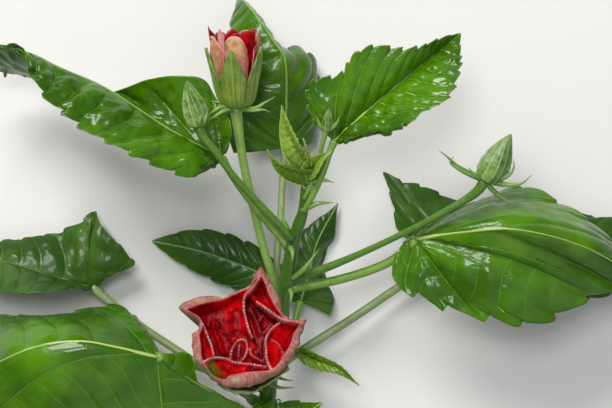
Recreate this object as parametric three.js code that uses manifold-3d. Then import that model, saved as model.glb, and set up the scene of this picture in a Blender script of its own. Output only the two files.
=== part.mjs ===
// Flowering shoot of a hibiscus shrub, cut and laid down on its side, in millimetres.
// X runs to the right and Y up the shoot as it is looked down on. Z is the height above the floor.
// Every leaf, stalk, bud and bloom is a closed solid of its own, cut clear of what carries it.
import * as THREE from 'three';
import { mergeVertices } from 'three/addons/utils/BufferGeometryUtils.js';
import Module from 'manifold-3d';

const wasm = await Module();
wasm.setup();

// Driving sizes
const BOX_CENTRE = { x: -4.4, y: -13.8 };
const GAP = 0.3;
const SMALLEST_DETAIL = 0.05;
const STEM_SIDES = 10;
const STALK_SIDES = 8;
const STALK_STEP = 8;
const BLADE_THICKNESS = 1.1;
const YOUNG_THICKNESS = 0.9;
const TEETH = 8;
const YOUNG_TEETH = 3;
const TOOTH_DEPTH = 2.6;
const FIRST_TOOTH_AT = 0.16;
const TOOTH_PEAK_AT = 0.75;
const BLADE_STRIPS = 2;
const LEAST_HALF_WIDTH = 0.4;
const BLADE_TAPER = 1.5;
const BLADE_FULLNESS = 3.5;
const LOBE_SCALE = 1.9;
const PETAL_COUNT = 5;

// The stem from its cut end on the floor to the growing tip, and how it thins
const STEM_PATH = [
  [-20.5, -111, 3.3], [-17.5, -91, 8], [-14, -68, 17], [-10.4, -47.5, 28],
  [-7.2, -28, 38.5], [-4.6, -13.5, 45], [-1.2, -3, 51], [-0.2, 6.5, 57],
];
const STEM_RADII = [3.3, 3.2, 3.1, 3.0, 2.95, 2.8, 2.1, 1.7];

// Stipules: thin pointed scales beside the nodes of the stem, from a foot to a tip
const STIPULES = [
  [[-5.5, -13, 46], [-9.8, 0, 51]],
  [[-6.2, -16, 46], [-5.2, -21.5, 50]],
  [[-0.6, -2, 53], [10.5, 0.5, 54]],
  [[-5.5, -29, 40.5], [5.2, -17, 46]],
  [[-6.8, -32, 37.5], [-6, -38, 42]],
];

// Leaves: a stalk from the stem, then a blade along its midrib. Each pair goes left, then right, as
// seen from base to tip. widths: a half's full width. bases: how full it is at the base. lobes: how
// far it reaches back past the base, how late across, and how much of that stays at the edge.
// tilts: degrees that it turns up from level, base to tip. spur: a pointed lobe on one half.
// taper: how steeply the halves narrow to the tip. strips: how many strips a half is made of.
const LEAVES = {
  upper_left: {
    colour: 0x3f7a16,
    stalk: {
      path: [[-6.9, -16.5, 41], [-16.9, -4.6, 43], [-24.5, 5.4, 45], [-29, 12.2, 47], [-32.4, 18.2, 47.2]],
      radius: 1.4,
    },
    midrib: [[-32, 17.6, 47], [-52.5, 29.5, 50], [-75.5, 43.5, 52], [-99, 55.5, 50], [-133, 52, 38]],
    widths: [30.5, 33],
    bases: [0.65, 1],
    lobes: [[-3, 1.5, 0.4], [-14, 1.5, 0.4]],
    tilts: [[60, 56, 57, 58, 60, 70], [-30, -50, -80, -103, -105, -100]],
  },
  upper_right: {
    colour: 0x4a8c1a,
    stalk: {
      path: [[-1, -2.5, 52], [2.5, 3.5, 56], [6, 11, 60], [8.5, 18.5, 62], [10.8, 24, 63]],
      radius: 1.3,
    },
    midrib: [[10.5, 23.5, 63], [22, 34, 65], [38.5, 48, 66], [58, 63.5, 60]],
    taper: 1.1,
    widths: [24, 24],
    bases: [1.2, 0.6],
    lobes: [[0, 1.5, 0.4], [2, 1.5, 0.4]],
    tilts: [[30, 31, 44, 58, 65, 65], [74, 66, 61, 54, 42, 30]],
  },
  right: {
    colour: 0x4a8a18,
    stalk: {
      path: [[-7.5, -33, 34], [9.5, -30, 38], [24.5, -25.5, 42], [34.5, -20.5, 46], [42, -13.2, 50.2]],
      radius: 1.75,
    },
    midrib: [[41.5, -13.5, 50], [58.5, -10.5, 60], [79.5, -9.5, 66], [106.5, -17, 60], [134, -33, 44]],
    widths: [34, 37],
    bases: [0.6, 0.4],
    lobes: [[14, 1.5, 0.4], [11, 0.8, 0.3]],
    tilts: [[-64, -60, -60, -66, -70, -70], [12, 8, 8, 15, 25, 30]],
  },
  left: {
    colour: 0x3c7818,
    stalk: {
      path: [[-15, -74.5, 14], [-28, -69.5, 18], [-41.5, -64, 28], [-51.5, -59.5, 40], [-57, -58.3, 48]],
      radius: 1.7,
    },
    midrib: [
      [-56.5, -58.5, 48], [-71.5, -54.5, 53], [-86.5, -52, 55],
      [-105, -55, 54], [-128, -67, 44], [-148, -84, 24],
    ],
    strips: 3,
    widths: [48, 33],
    bases: [0.7, 0.4],
    lobes: [[40, 1, 0.3], [4, 1.5, 0.4]],
    tilts: [[-4, 4, 8, 10, 5, 0], [-66, -67, -66, -62, -55, -45]],
  },
  far_left: {
    colour: 0x2c5a30,
    stalk: {
      path: [
        [-16.5, -80.5, 11], [-30.5, -73, 9], [-48.5, -61, 9],
        [-66.5, -49, 10], [-80.5, -38, 11], [-86, -33, 12.1],
      ],
      radius: 1.6,
    },
    midrib: [[-85.5, -33.5, 12], [-102, -28.5, 16], [-122.5, -23, 14], [-147.5, -23.5, 3]],
    widths: [22, 25],
    bases: [0.5, 0.8],
    lobes: [[0, 1.5, 0.4], [29, 1.2, -0.15]],
    tilts: [[72, 68, 60, 50, 40, 30], [0, -25, -50, -62, -50, -30]],
    spur: { side: 1, span: 0.16, reach: 10 },
  },
  back_left: {
    colour: 0x24461e,
    stalk: { path: [[-12, -52, 24], [-14.5, -42, 15], [-15.8, -28, 10.2]], radius: 1.4 },
    midrib: [[-15.5, -29, 10], [-28.5, -23.5, 10], [-44.5, -18.5, 8], [-62.5, -15, 3]],
    taper: 1,
    widths: [10, 10],
    bases: [0.9, 0.9],
    lobes: [[3, 1.5, 0.4], [3, 1.5, 0.4]],
    tilts: [[-15, -15, -10], [-15, -10, -10]],
  },
  back_middle: {
    colour: 0x2c5420,
    stalk: { path: [[-13, -60, 20], [-6, -51, 14], [-2.2, -38.8, 10.1]], radius: 1.4 },
    midrib: [[-2.4, -39.6, 10], [0.8, -28.5, 10], [4.8, -14.5, 8], [13, 0.4, 3]],
    widths: [11, 15],
    bases: [0.7, 1],
    lobes: [[2, 1.5, 0.4], [3, 1.5, 0.4]],
    tilts: [[-10, -10, -10, -10, -10, -10], [0, -45, -72, -66, -20, 0]],
  },
  back_top: {
    colour: 0x35681c,
    stalk: {
      path: [
        [-11, -42, 27], [-11.4, -32.5, 26.5], [-11.4, -20, 25.5],
        [-10.2, -8.3, 24], [-9.5, 5.5, 22], [-8.2, 23, 19.2],
      ],
      radius: 1.4,
    },
    midrib: [
      [-8.3, 22.2, 19], [-7.9, 37, 24], [-8.2, 55.6, 28], [-12.5, 63.5, 28],
      [-19.7, 74.4, 25], [-24.7, 80.9, 16], [-27.5, 83.8, 4],
    ],
    taper: 0.9,
    widths: [25, 22],
    bases: [1.5, 1.3],
    lobes: [[4, 1.5, 0.4], [2, 1.5, 0.4]],
    tilts: [[0, 0, -10, -15, -20, -20], [-48, -50, -60, -98, -98, -98]],
  },
  back_right: {
    colour: 0x3c6c2c,
    stalk: {
      path: [
        [-14, -67, 16], [-2.5, -59, 14], [17.5, -46.5, 12],
        [37, -33.5, 10], [50, -25, 10], [56.7, -20.7, 11.1],
      ],
      radius: 1.7,
    },
    midrib: [[56, -21, 11], [77.5, -16.5, 16], [105.5, -14.5, 14], [139.5, -18.5, 2]],
    taper: 1.1,
    widths: [32, 30],
    bases: [1, 0.5],
    lobes: [[25, 1.5, 0.42], [10, 1.5, 0.4]],
    tilts: [[-5, -40, -55, -58, -50, -40], [-20, -20, -20, -15, -10, -10]],
    spur: { side: 0, span: 0.1, reach: 11 },
  },
  bottom: {
    colour: 0x3f6c28,
    stalk: { path: [[-18.5, -97, 8], [-19.5, -97.5, 12], [-17.8, -95.8, 15.4]], radius: 1.3 },
    midrib: [[-18, -96, 15], [-9, -89, 21], [-1, -83.5, 21], [6.5, -79, 16]],
    widths: [13, 12],
    bases: [0.6, 0.6],
    lobes: [[3, 1.5, 0.4], [3, 1.5, 0.4]],
    tilts: [[-5, -5, -10], [-10, -15, -10]],
  },
};

// The smallest leaf carries its own short stalk
const YOUNG_LEAF = {
  colour: 0x5aa01e,
  stalk: { path: [[-11, -54, 22], [-7, -56.5, 18], [-2, -58.6, 17.2]], radius: 0.9 },
  midrib: [[-2.5, -58.5, 17], [4.5, -61.5, 22], [13.5, -65, 26], [21, -71.5, 26]],
  widths: [3.5, 4],
  bases: [0.6, 0.6],
  tilts: [[50, 50, 50], [20, 20, 20]],
};

// Young leaves still folded round the growing tip of the stem
const TIP_CORE = { path: [[-0.2, 7.1, 57.4], [0.4, 12, 60], [0.6, 16, 62]], radius: 1.7 };
const TIP_BASES = [0.7, 0.7];
const TIP_LEAVES = [
  {
    midrib: [[0, 11, 59.5], [-6, 13, 61], [-11.5, 16, 62], [-15, 20.5, 62]],
    widths: [5, 6],
    tilts: [[55, 45], [50, 40]],
  },
  {
    midrib: [[0.6, 11.5, 59.5], [3.5, 13, 62], [6.5, 16, 64], [9.5, 20, 65]],
    widths: [5, 5],
    tilts: [[50, 40], [55, 45]],
  },
  {
    midrib: [[0.4, 14, 61], [-2.5, 21, 64], [-6, 29, 66], [-9.5, 36, 67]],
    widths: [4.5, 4.5],
    tilts: [[55, 30], [55, 30]],
  },
  {
    midrib: [[0.6, 14, 61], [1, 18, 65], [0.3, 21.5, 67], [-0.5, 24.5, 68]],
    widths: [1.8, 1.8],
    tilts: [[55, 50], [55, 50]],
  },
];

// Flower stalks, from the stem to the foot of each bud or bloom
const FLOWER_STALKS = {
  top: {
    path: [
      [-10.1, -38, 33], [-13.8, -25.6, 35], [-16.3, -17.5, 36],
      [-20.9, 3.5, 38.5], [-23.5, 18.9, 41], [-25.5, 36.5, 44.2],
    ],
    radii: [1.65, 1.65, 1.7],
  },
  left: {
    path: [
      [-5, -13.5, 47], [-16.8, -1, 50], [-26.9, 10, 54],
      [-34, 19.5, 57], [-38.5, 25, 58], [-40.3, 29, 59.1],
    ],
    radii: [1.5, 1.5, 1.95],
  },
  right: {
    path: [
      [-6, -29, 38], [9, -24, 43], [28, -15.5, 50], [46.5, -6, 57],
      [59.5, 1.5, 61], [64.4, 5.4, 63.1], [66.4, 8.8, 64.1],
    ],
    radii: [1.8, 1.85, 2.2],
  },
  small: { path: [[-1, 1.5, 55], [3, 10, 58], [5, 18.5, 60], [6.6, 25, 62]], radii: [0.8, 0.8, 1.0] },
  bloom: {
    path: [[-16, -79.5, 13], [-21.5, -78.5, 15], [-24, -71.5, 20], [-24, -65, 29], [-23.5, -61.7, 35.3]],
    radii: [1.8, 1.8, 2.2],
  },
};

// Closed buds: a five-ridged spindle in its sepals, with thin bracts round its foot
const BUDS = {
  left: {
    base: [-40.2, 28.6, 59], tip: [-44.5, 46.2, 61.5], radius: 4.6,
    bracts: [[-3.5, 5, 2], [3.5, 5, 1], [0, 3, 5]],
  },
  right: {
    base: [66.3, 8.4, 64], tip: [76, 25.8, 67.5], radius: 6.1,
    bracts: [[-17.5, 13, 0], [8, 8, 2.5], [13.5, -3.5, 1], [5, -9, -2], [-8, 5, 5], [6, 4, -6]],
  },
  small: {
    base: [6.5, 24.6, 62], tip: [8, 36.5, 65], radius: 2.3,
    bracts: [[6, 4.5, 3], [-4, 5, 3], [1, 6, -2]],
  },
};
const BUD_PROFILE = [
  [0, 0.3], [0.04, 0.72], [0.16, 0.93], [0.36, 1], [0.58, 0.8], [0.78, 0.48], [0.92, 0.22], [1, 0.07],
];
const BUD_RIDGE = 0.1;
const BRACT_RADIUS = 0.8;
const BRACT_TIP_RADIUS = 0.3;

// Open flowers. Petals are a cup of [height, radius] pairs whose rim has a point on each petal, and
// the sepal cup fits round it. Turns go round the axis from the left, in degrees.
const TOP_BUD = {
  base: [-25.4, 36, 44], axis: [-0.11, 0.97, 0.2],
  petals: [[1.9, 1.6], [5, 5.6], [10, 7], [16, 8.2], [22, 9], [30, 8.8]],
  petalRim: { notch: 25.5, tip: 30, turn: 54 },
  sepalRim: { notch: 11, tip: 24, turn: 90 },
  bracts: [
    [-11, 7, 2.5], [-6.5, -2.5, 5], [-11.5, 0.5, -2], [12, 5, 2], [10, 9, -3], [3, 4, -9], [-4, 3, -10],
  ],
};
const BLOOM = {
  base: [-23.5, -62, 34.7], axis: [0.03, 0.36, 0.932],
  petals: [[2.2, 1.8], [5, 6], [10, 8.6], [18, 11.6], [28, 15.2], [40, 18]],
  petalRim: { notch: 36, tip: 39, turn: 46 },
  sepalRim: { notch: 12, tip: 25, turn: 82 },
  bracts: [[11, -7, 3], [-12, -6, 3], [13, 4, 4], [-2, 13, 3], [9, 10, 2], [-11, 8, 3], [0, -12, 3]],
};
// Reach of the bloom's rim at a turn: five points with hollows between
const BLOOM_RIM = [
  [8, 19.6], [35, 19.8], [62, 19.8], [90, 20.6], [129, 20.8], [165, 20.8],
  [190, 21.6], [218, 16.5], [252, 25.4], [270, 18.5], [302, 15.8], [340, 25],
];
// Curled inner petals at the middle of the bloom, as one solid
const BLOOM_HEART = [[12, 4], [16, 8.5], [22, 11], [28, 12], [32, 9.5], [34.5, 5], [35, 1.5]];
const HEART_HOLLOW = 0.82;
const PETAL_WALL = 1.2;
const SEPAL_WALL = 1.0;
const SEPAL_GAP = 0.6;
const RIM_LEVELS = [0.3, 0.6, 1];
const CUP_LEAST_RADIUS = 0.6;
const LEAF_ROUGHNESS = 0.35;

const MATERIALS = {
  stem: [0x3c7312, 0.55],
  paleStalk: [0x9aa86a, 0.6],
  sepal: [0x6f9a3e, 0.65],
  petal: [0xb3101a, 0.4],
  tip: [0x6fae2e, 0.5],
};

const vector = (list) => new THREE.Vector3(...list);
const UP = new THREE.Vector3(0, 0, 1);

// Smooth curve through the named points
function curveThrough(points) {
  return new THREE.CatmullRomCurve3(points.map(vector), false, 'catmullrom', 0.5);
}

// Value of a short list of evenly spaced stops, at a share of the way along it
function valueAt(stops, share) {
  const place = THREE.MathUtils.clamp(share, 0, 1) * (stops.length - 1);
  const first = Math.min(Math.floor(place), stops.length - 2);
  return THREE.MathUtils.lerp(stops[first], stops[first + 1], place - first);
}

// Radius of a profile of [height, radius] pairs, at a height
function radiusAt(profile, height) {
  const last = profile.length - 1;
  if (height <= profile[0][0]) return profile[0][1];
  if (height >= profile[last][0]) return profile[last][1];
  const next = profile.findIndex(([h]) => h > height);
  const [h0, r0] = profile[next - 1];
  const [h1, r1] = profile[next];
  return THREE.MathUtils.lerp(r0, r1, (height - h0) / (h1 - h0));
}

// A solid from points and triangles, with its faces turned outward
function solidFrom(points, triangles) {
  const geometry = new THREE.BufferGeometry().setFromPoints(points);
  geometry.setIndex(triangles.flat());
  const merged = mergeVertices(geometry);
  const mesh = new wasm.Mesh({
    numProp: 3,
    vertProperties: merged.attributes.position.array,
    triVerts: new Uint32Array(merged.index.array),
  });
  mesh.merge();
  return new wasm.Manifold(mesh);
}

// Skin over a row of rings, all with the same number of points, closed flat at both ends
function loft(rings) {
  const count = rings[0].length;
  const points = rings.flat();
  const triangles = [];
  for (let ring = 0; ring + 1 < rings.length; ring++) {
    for (let k = 0; k < count; k++) {
      const a = ring * count + k;
      const b = ring * count + ((k + 1) % count);
      triangles.push([a, b, b + count], [a, b + count, a + count]);
    }
  }
  const addCap = (start, outward) => {
    const middle = new THREE.Vector3();
    for (let k = 0; k < count; k++) middle.addScaledVector(points[start + k], 1 / count);
    points.push(middle);
    for (let k = 0; k < count; k++) {
      const a = start + k;
      const b = start + ((k + 1) % count);
      triangles.push(outward ? [a, b, points.length - 1] : [b, a, points.length - 1]);
    }
  };
  addCap(0, false);
  addCap((rings.length - 1) * count, true);
  return solidFrom(points, triangles);
}

// Round limb along a path, thinning by the radii given. grow makes the same limb fatter all round.
function limb(path, radii, sides, grow = 0) {
  const curve = curveThrough(path);
  const steps = Math.max(4, Math.round(curve.getLength() / STALK_STEP));
  const rings = [];
  for (let i = 0; i <= steps; i++) {
    const share = i / steps;
    const along = curve.getTangentAt(share);
    const side = new THREE.Vector3().crossVectors(UP, along).normalize();
    const rise = new THREE.Vector3().crossVectors(along, side);
    const centre = curve.getPointAt(share);
    if (i === 0) centre.addScaledVector(along, -grow);
    if (i === steps) centre.addScaledVector(along, grow);
    const radius = valueAt(radii, share) + grow;
    rings.push(Array.from({ length: sides }, (_, k) => {
      const turn = (2 * Math.PI * k) / sides;
      return centre.clone()
        .addScaledVector(side, radius * Math.cos(turn))
        .addScaledVector(rise, radius * Math.sin(turn));
    }));
  }
  return loft(rings);
}

// How wide a half blade is at a share of its midrib, out of its full width
function bladeWidth(share, base, taper) {
  const outline = (u) => Math.pow(1 - u, taper) * (base + BLADE_FULLNESS * u);
  const widestAt = (BLADE_FULLNESS - taper * base) / (BLADE_FULLNESS * (1 + taper));
  return outline(share) / outline(widestAt);
}

// How far a half blade reaches back past its base, at a share of the way across it
function lobeReach(across, [reach, sinus, corner]) {
  return reach * LOBE_SCALE * Math.pow(across, sinus) * (1 - (1 - corner) * across * across);
}

// Saw of forward-pointing teeth along a blade's edge, from 0 in a notch to 1 at a point
function toothHeight(share, teeth) {
  if (share < FIRST_TOOTH_AT) return 0.5;
  const place = ((share - FIRST_TOOTH_AT) / (1 - FIRST_TOOTH_AT)) * teeth;
  const part = place - Math.floor(place + 1e-6);
  return part < TOOTH_PEAK_AT ? part / TOOTH_PEAK_AT : (1 - part) / (1 - TOOTH_PEAK_AT);
}

// Shares of the midrib at which a blade has a row of points: each notch and each tooth
function bladeRows(teeth) {
  const rows = [0, 0.05, 0.1];
  const toothed = 1 - FIRST_TOOTH_AT;
  for (let tooth = 0; tooth < teeth; tooth++) {
    rows.push(FIRST_TOOTH_AT + (toothed * tooth) / teeth);
    rows.push(FIRST_TOOTH_AT + (toothed * (tooth + TOOTH_PEAK_AT)) / teeth);
  }
  rows.push(1);
  return rows;
}

// Leaf blade: two halves hinged on the midrib, each tilted on its own, with teeth along the edge
function blade(leaf, thickness, teeth, grow = 0) {
  const { midrib, widths, tilts, bases, lobes, spur, taper = BLADE_TAPER, strips = BLADE_STRIPS } = leaf;
  const curve = curveThrough(midrib);
  const toothDepth = Math.min(TOOTH_DEPTH, curve.getLength() / 30);
  const rows = bladeRows(teeth);
  const columns = [];
  for (let k = -strips; k <= strips; k++) columns.push(k / strips);

  const pointAt = (share, column) => {
    const half = column >= 0 ? 0 : 1;
    const across = Math.abs(column);
    const along = curve.getTangentAt(share);
    const side = new THREE.Vector3().crossVectors(UP, along).normalize();
    const rise = new THREE.Vector3().crossVectors(along, side);
    if (half === 1) side.negate();
    const tilt = THREE.MathUtils.degToRad(valueAt(tilts[half], share));
    const outward = side.multiplyScalar(Math.cos(tilt)).addScaledVector(rise, Math.sin(tilt));
    const width = bladeWidth(share, bases[half], taper);
    const tooth = across === 1 ? toothDepth * (toothHeight(share, teeth) - 0.5) * width : 0;
    const point = spur?.side === half ? Math.max(0, 1 - share / spur.span) * spur.reach : 0;
    const reach = Math.max(widths[half] * width + point, LEAST_HALF_WIDTH) * across + tooth;
    const back = lobes ? lobeReach(across, lobes[half]) * Math.pow(1 - share, 3) : 0;
    return curve.getPointAt(share).addScaledVector(outward, reach).addScaledVector(along, -back);
  };

  const sheet = rows.map((share) => columns.map((column) => pointAt(share, column)));
  const normals = sheet.map((row, i) => row.map((_, k) => {
    const ahead = sheet[Math.min(i + 1, rows.length - 1)][k];
    const behind = sheet[Math.max(i - 1, 0)][k];
    const left = row[Math.min(k + 1, row.length - 1)];
    const right = row[Math.max(k - 1, 0)];
    return new THREE.Vector3()
      .crossVectors(ahead.clone().sub(behind), left.clone().sub(right))
      .normalize();
  }));

  // Both faces, set apart by the thickness and kept above the floor
  const half = thickness / 2 + grow;
  const floor = -grow;
  const facePoint = (i, k, sign) => {
    const point = sheet[i][k].clone();
    if (grow > 0) {
      if (k === 0) point.addScaledVector(sheet[i][0].clone().sub(sheet[i][1]).normalize(), grow);
      const last = columns.length - 1;
      if (k === last) point.addScaledVector(sheet[i][last].clone().sub(sheet[i][last - 1]).normalize(), grow);
      if (i === 0) point.addScaledVector(sheet[0][k].clone().sub(sheet[1][k]).normalize(), grow);
      if (i === rows.length - 1) {
        point.addScaledVector(sheet[i][k].clone().sub(sheet[i - 1][k]).normalize(), grow);
      }
    }
    point.addScaledVector(normals[i][k], sign * half);
    const upper = sign * normals[i][k].z > 0;
    point.z = Math.max(point.z, upper ? thickness + grow : floor);
    return point;
  };
  return slab(rows.length, columns.length, facePoint);
}

// Closed slab between two faces of a grid. facePoint gives the point at a row, a column and a side.
function slab(rowCount, columnCount, facePoint) {
  const points = [];
  const triangles = [];
  const index = (i, k, sign) => (sign > 0 ? 0 : rowCount * columnCount) + i * columnCount + k;
  for (const sign of [1, -1]) {
    for (let i = 0; i < rowCount; i++) {
      for (let k = 0; k < columnCount; k++) points.push(facePoint(i, k, sign));
    }
  }
  for (let i = 0; i + 1 < rowCount; i++) {
    for (let k = 0; k + 1 < columnCount; k++) {
      const top = [index(i, k, 1), index(i + 1, k, 1), index(i + 1, k + 1, 1), index(i, k + 1, 1)];
      const low = [index(i, k, -1), index(i, k + 1, -1), index(i + 1, k + 1, -1), index(i + 1, k, -1)];
      triangles.push([top[0], top[1], top[2]], [top[0], top[2], top[3]]);
      triangles.push([low[0], low[1], low[2]], [low[0], low[2], low[3]]);
    }
  }
  const wall = (a, b) => {
    triangles.push([index(...a, 1), index(...b, 1), index(...b, -1)]);
    triangles.push([index(...a, 1), index(...b, -1), index(...a, -1)]);
  };
  for (let i = 0; i + 1 < rowCount; i++) {
    wall([i + 1, 0], [i, 0]);
    wall([i, columnCount - 1], [i + 1, columnCount - 1]);
  }
  for (let k = 0; k + 1 < columnCount; k++) {
    wall([0, k], [0, k + 1]);
    wall([rowCount - 1, k + 1], [rowCount - 1, k]);
  }
  return solidFrom(points, triangles);
}

// Frame of a flower: its foot, its axis, and two directions across it
function flowerFrame(base, axis) {
  const along = vector(axis).normalize();
  const side = new THREE.Vector3().crossVectors(UP, along).normalize();
  const rise = new THREE.Vector3().crossVectors(along, side);
  const at = (height, radius, turn) => vector(base)
    .addScaledVector(along, height)
    .addScaledVector(side, radius * Math.cos(turn))
    .addScaledVector(rise, radius * Math.sin(turn));
  return { at };
}

// Thin pointed bract from a flower's foot towards an offset
function bract(base, offset, grow = 0) {
  const end = vector(base).add(vector(offset));
  const middle = vector(base).lerp(end, 0.5);
  const start = vector(base).lerp(end, 0.08);
  return limb(
    [start.toArray(), middle.toArray(), end.toArray()],
    [BRACT_RADIUS, BRACT_RADIUS, BRACT_TIP_RADIUS],
    4,
    grow,
  );
}

function addBracts(solid, base, offsets, grow = 0) {
  return offsets.reduce((whole, offset) => whole.add(bract(base, offset, grow)), solid);
}

// Closed bud: five blunt ridges on a spindle
function bud({ base, tip, radius, bracts }, grow = 0) {
  const axis = vector(tip).sub(vector(base));
  const height = axis.length();
  const { at } = flowerFrame(base, axis.toArray());
  const sides = 2 * PETAL_COUNT;
  const rings = BUD_PROFILE.map(([share, width]) => Array.from({ length: sides }, (_, k) => {
    const ridge = k % 2 === 0 ? 1 + BUD_RIDGE : 1 - BUD_RIDGE;
    return at(share * height, radius * width * ridge + grow, (2 * Math.PI * k) / sides);
  }));
  return addBracts(loft(rings), base, bracts, grow);
}

// Cup round an axis: up the outside from its foot to the rim, and down the inside to its floor.
// heights are those of its rings below the rim's wave.
function cup({ base, axis }, heights, rimAt, radiusAround, outside, inside, sides, grow = 0) {
  const { at } = flowerFrame(base, axis);
  const turns = Array.from({ length: sides }, (_, k) => (2 * Math.PI * k) / sides);
  const top = heights[heights.length - 1];
  const wall = (offset, foot) => {
    const ring = (heightAt) => turns.map((turn) => {
      const height = Math.max(heightAt(turn), foot);
      return at(height, Math.max(radiusAround(height, turn) + offset, CUP_LEAST_RADIUS), turn);
    });
    return [
      ...heights.map((height) => ring(() => height)),
      ...RIM_LEVELS.map((level) => ring((turn) => top + (rimAt(turn) + grow - top) * level)),
    ];
  };
  const foot = heights[0] - grow;
  const floor = heights[0] + outside - inside - grow;
  return loft([...wall(outside + grow, foot), ...wall(inside - grow, floor).reverse()]);
}

// Height of a rim with a point on each petal
function rimHeight({ notch, tip, turn }) {
  return (place) => {
    const wave = 0.5 + 0.5 * Math.cos(PETAL_COUNT * (place - THREE.MathUtils.degToRad(turn)));
    return notch + (tip - notch) * wave;
  };
}

// Reach of the bloom's rim at a turn
function bloomReach(turn) {
  const [firstTurn, firstRadius] = BLOOM_RIM[0];
  const place = THREE.MathUtils.radToDeg(turn);
  const onward = place < firstTurn ? place + 360 : place;
  return radiusAt([...BLOOM_RIM, [firstTurn + 360, firstRadius]], onward);
}

const pieces = [];
const group = new THREE.Group();

// Adds a piece as a mesh. It is first cut clear of every piece before it, and loose scraps are dropped.
function addPiece(name, solid, fatSolid, colour, roughness) {
  let body = solid;
  for (const other of pieces) body = body.subtract(other.fatSolid);
  const largest = body.decompose()
    .sort((a, b) => b.volume() - a.volume())[0]
    .simplify(SMALLEST_DETAIL);
  pieces.push({ name, fatSolid });
  const { vertProperties, triVerts } = largest.getMesh();
  const geometry = new THREE.BufferGeometry();
  geometry.setAttribute('position', new THREE.BufferAttribute(new Float32Array(vertProperties), 3));
  geometry.setIndex(Array.from(triVerts));
  geometry.computeVertexNormals();
  const material = new THREE.MeshStandardMaterial({ color: colour, roughness, metalness: 0 });
  const mesh = new THREE.Mesh(geometry, material);
  mesh.name = name;
  group.add(mesh);
}

function buildStem() {
  const stemWithScales = (grow) => STIPULES.reduce((sum, [foot, tip]) => {
    const middle = vector(foot).lerp(vector(tip), 0.5).toArray();
    return sum.add(limb([foot, middle, tip], [BRACT_RADIUS, BRACT_RADIUS, BRACT_TIP_RADIUS], 4, grow));
  }, limb(STEM_PATH, STEM_RADII, STEM_SIDES, grow));
  addPiece('main_stem', stemWithScales(0), stemWithScales(GAP), ...MATERIALS.stem);
}

function buildFlowerStalks() {
  for (const [name, { path, radii }] of Object.entries(FLOWER_STALKS)) {
    const solid = limb(path, radii, STALK_SIDES);
    addPiece(`flower_stalk_${name}`, solid, limb(path, radii, STALK_SIDES, GAP), ...MATERIALS.stem);
  }
}

// Petals and sepals of an open flower. radiusAround gives the petals' outer radius at a height and turn.
function buildFlower(name, flower, radiusAround, sides) {
  const below = flower.petals.map(([height]) => height).filter((h) => h < flower.sepalRim.notch);
  const sepalFoot = below[0] - SEPAL_GAP - SEPAL_WALL;
  const petals = (grow) => cup(
    flower, below, rimHeight(flower.petalRim), radiusAround, 0, -PETAL_WALL, sides, grow,
  );
  const sepals = (grow) => addBracts(
    cup(
      flower, [sepalFoot, ...below], rimHeight(flower.sepalRim), radiusAround,
      SEPAL_GAP + SEPAL_WALL, SEPAL_GAP, sides, grow,
    ),
    flower.base, flower.bracts, grow,
  );
  addPiece(`${name}_petals`, petals(0), petals(GAP), ...MATERIALS.petal);
  addPiece(`${name}_calyx`, sepals(0), sepals(GAP), ...MATERIALS.sepal);
}

function buildTopBud() {
  buildFlower('bud_top', TOP_BUD, (height) => radiusAt(TOP_BUD.petals, height), 4 * PETAL_COUNT);
}

function buildBloom() {
  const { petals, petalRim } = BLOOM;
  const rimRadius = radiusAt(petals, petalRim.notch);
  const radiusAround = (height, turn) => {
    const level = height / petalRim.notch;
    return radiusAt(petals, height) * (1 + level * level * (bloomReach(turn) / rimRadius - 1));
  };
  buildFlower('bloom', BLOOM, radiusAround, 6 * PETAL_COUNT);
  const { at } = flowerFrame(BLOOM.base, BLOOM.axis);
  const heart = loft(BLOOM_HEART.map(([height, radius]) => Array.from(
    { length: 2 * PETAL_COUNT },
    (_, k) => at(height, radius * (k % 2 === 0 ? 1 : HEART_HOLLOW), (Math.PI * k) / PETAL_COUNT),
  )));
  addPiece('bloom_heart', heart, heart, ...MATERIALS.petal);
}

function buildBuds() {
  for (const [name, shape] of Object.entries(BUDS)) {
    addPiece(`bud_${name}`, bud(shape), bud(shape, GAP), ...MATERIALS.sepal);
  }
}

function buildShootTip() {
  const { path, radius } = TIP_CORE;
  const cluster = (grow) => TIP_LEAVES.reduce(
    (sum, leaf) => sum.add(blade({ bases: TIP_BASES, ...leaf }, YOUNG_THICKNESS, YOUNG_TEETH, grow)),
    limb(path, [radius, radius], STALK_SIDES, grow),
  );
  addPiece('shoot_tip', cluster(0), cluster(GAP), ...MATERIALS.tip);
}

function buildLeaves() {
  for (const [name, leaf] of Object.entries(LEAVES)) {
    const { path, radius } = leaf.stalk;
    const stalk = (grow) => limb(path, [radius, radius], STALK_SIDES, grow);
    const whole = (grow) => blade(leaf, BLADE_THICKNESS, TEETH, grow);
    addPiece(`leaf_stalk_${name}`, stalk(0), stalk(GAP), ...MATERIALS.paleStalk);
    addPiece(`leaf_${name}`, whole(0), whole(GAP), leaf.colour, LEAF_ROUGHNESS);
  }
  const { path, radius } = YOUNG_LEAF.stalk;
  const young = limb(path, [radius, radius], STALK_SIDES)
    .add(blade(YOUNG_LEAF, YOUNG_THICKNESS, YOUNG_TEETH));
  addPiece('leaf_young', young, young, YOUNG_LEAF.colour, LEAF_ROUGHNESS);
}

buildStem();
buildFlowerStalks();
buildTopBud();
buildBloom();
buildBuds();
buildShootTip();
buildLeaves();
group.position.set(-BOX_CENTRE.x, -BOX_CENTRE.y, 0);

export default group;
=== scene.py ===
# Flowering hibiscus shoot, cut and laid on a pale floor, seen from straight above.
# Shapes are worked out in millimetres in the layout of the solids and moved to the frame at the end.
import math

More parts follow.
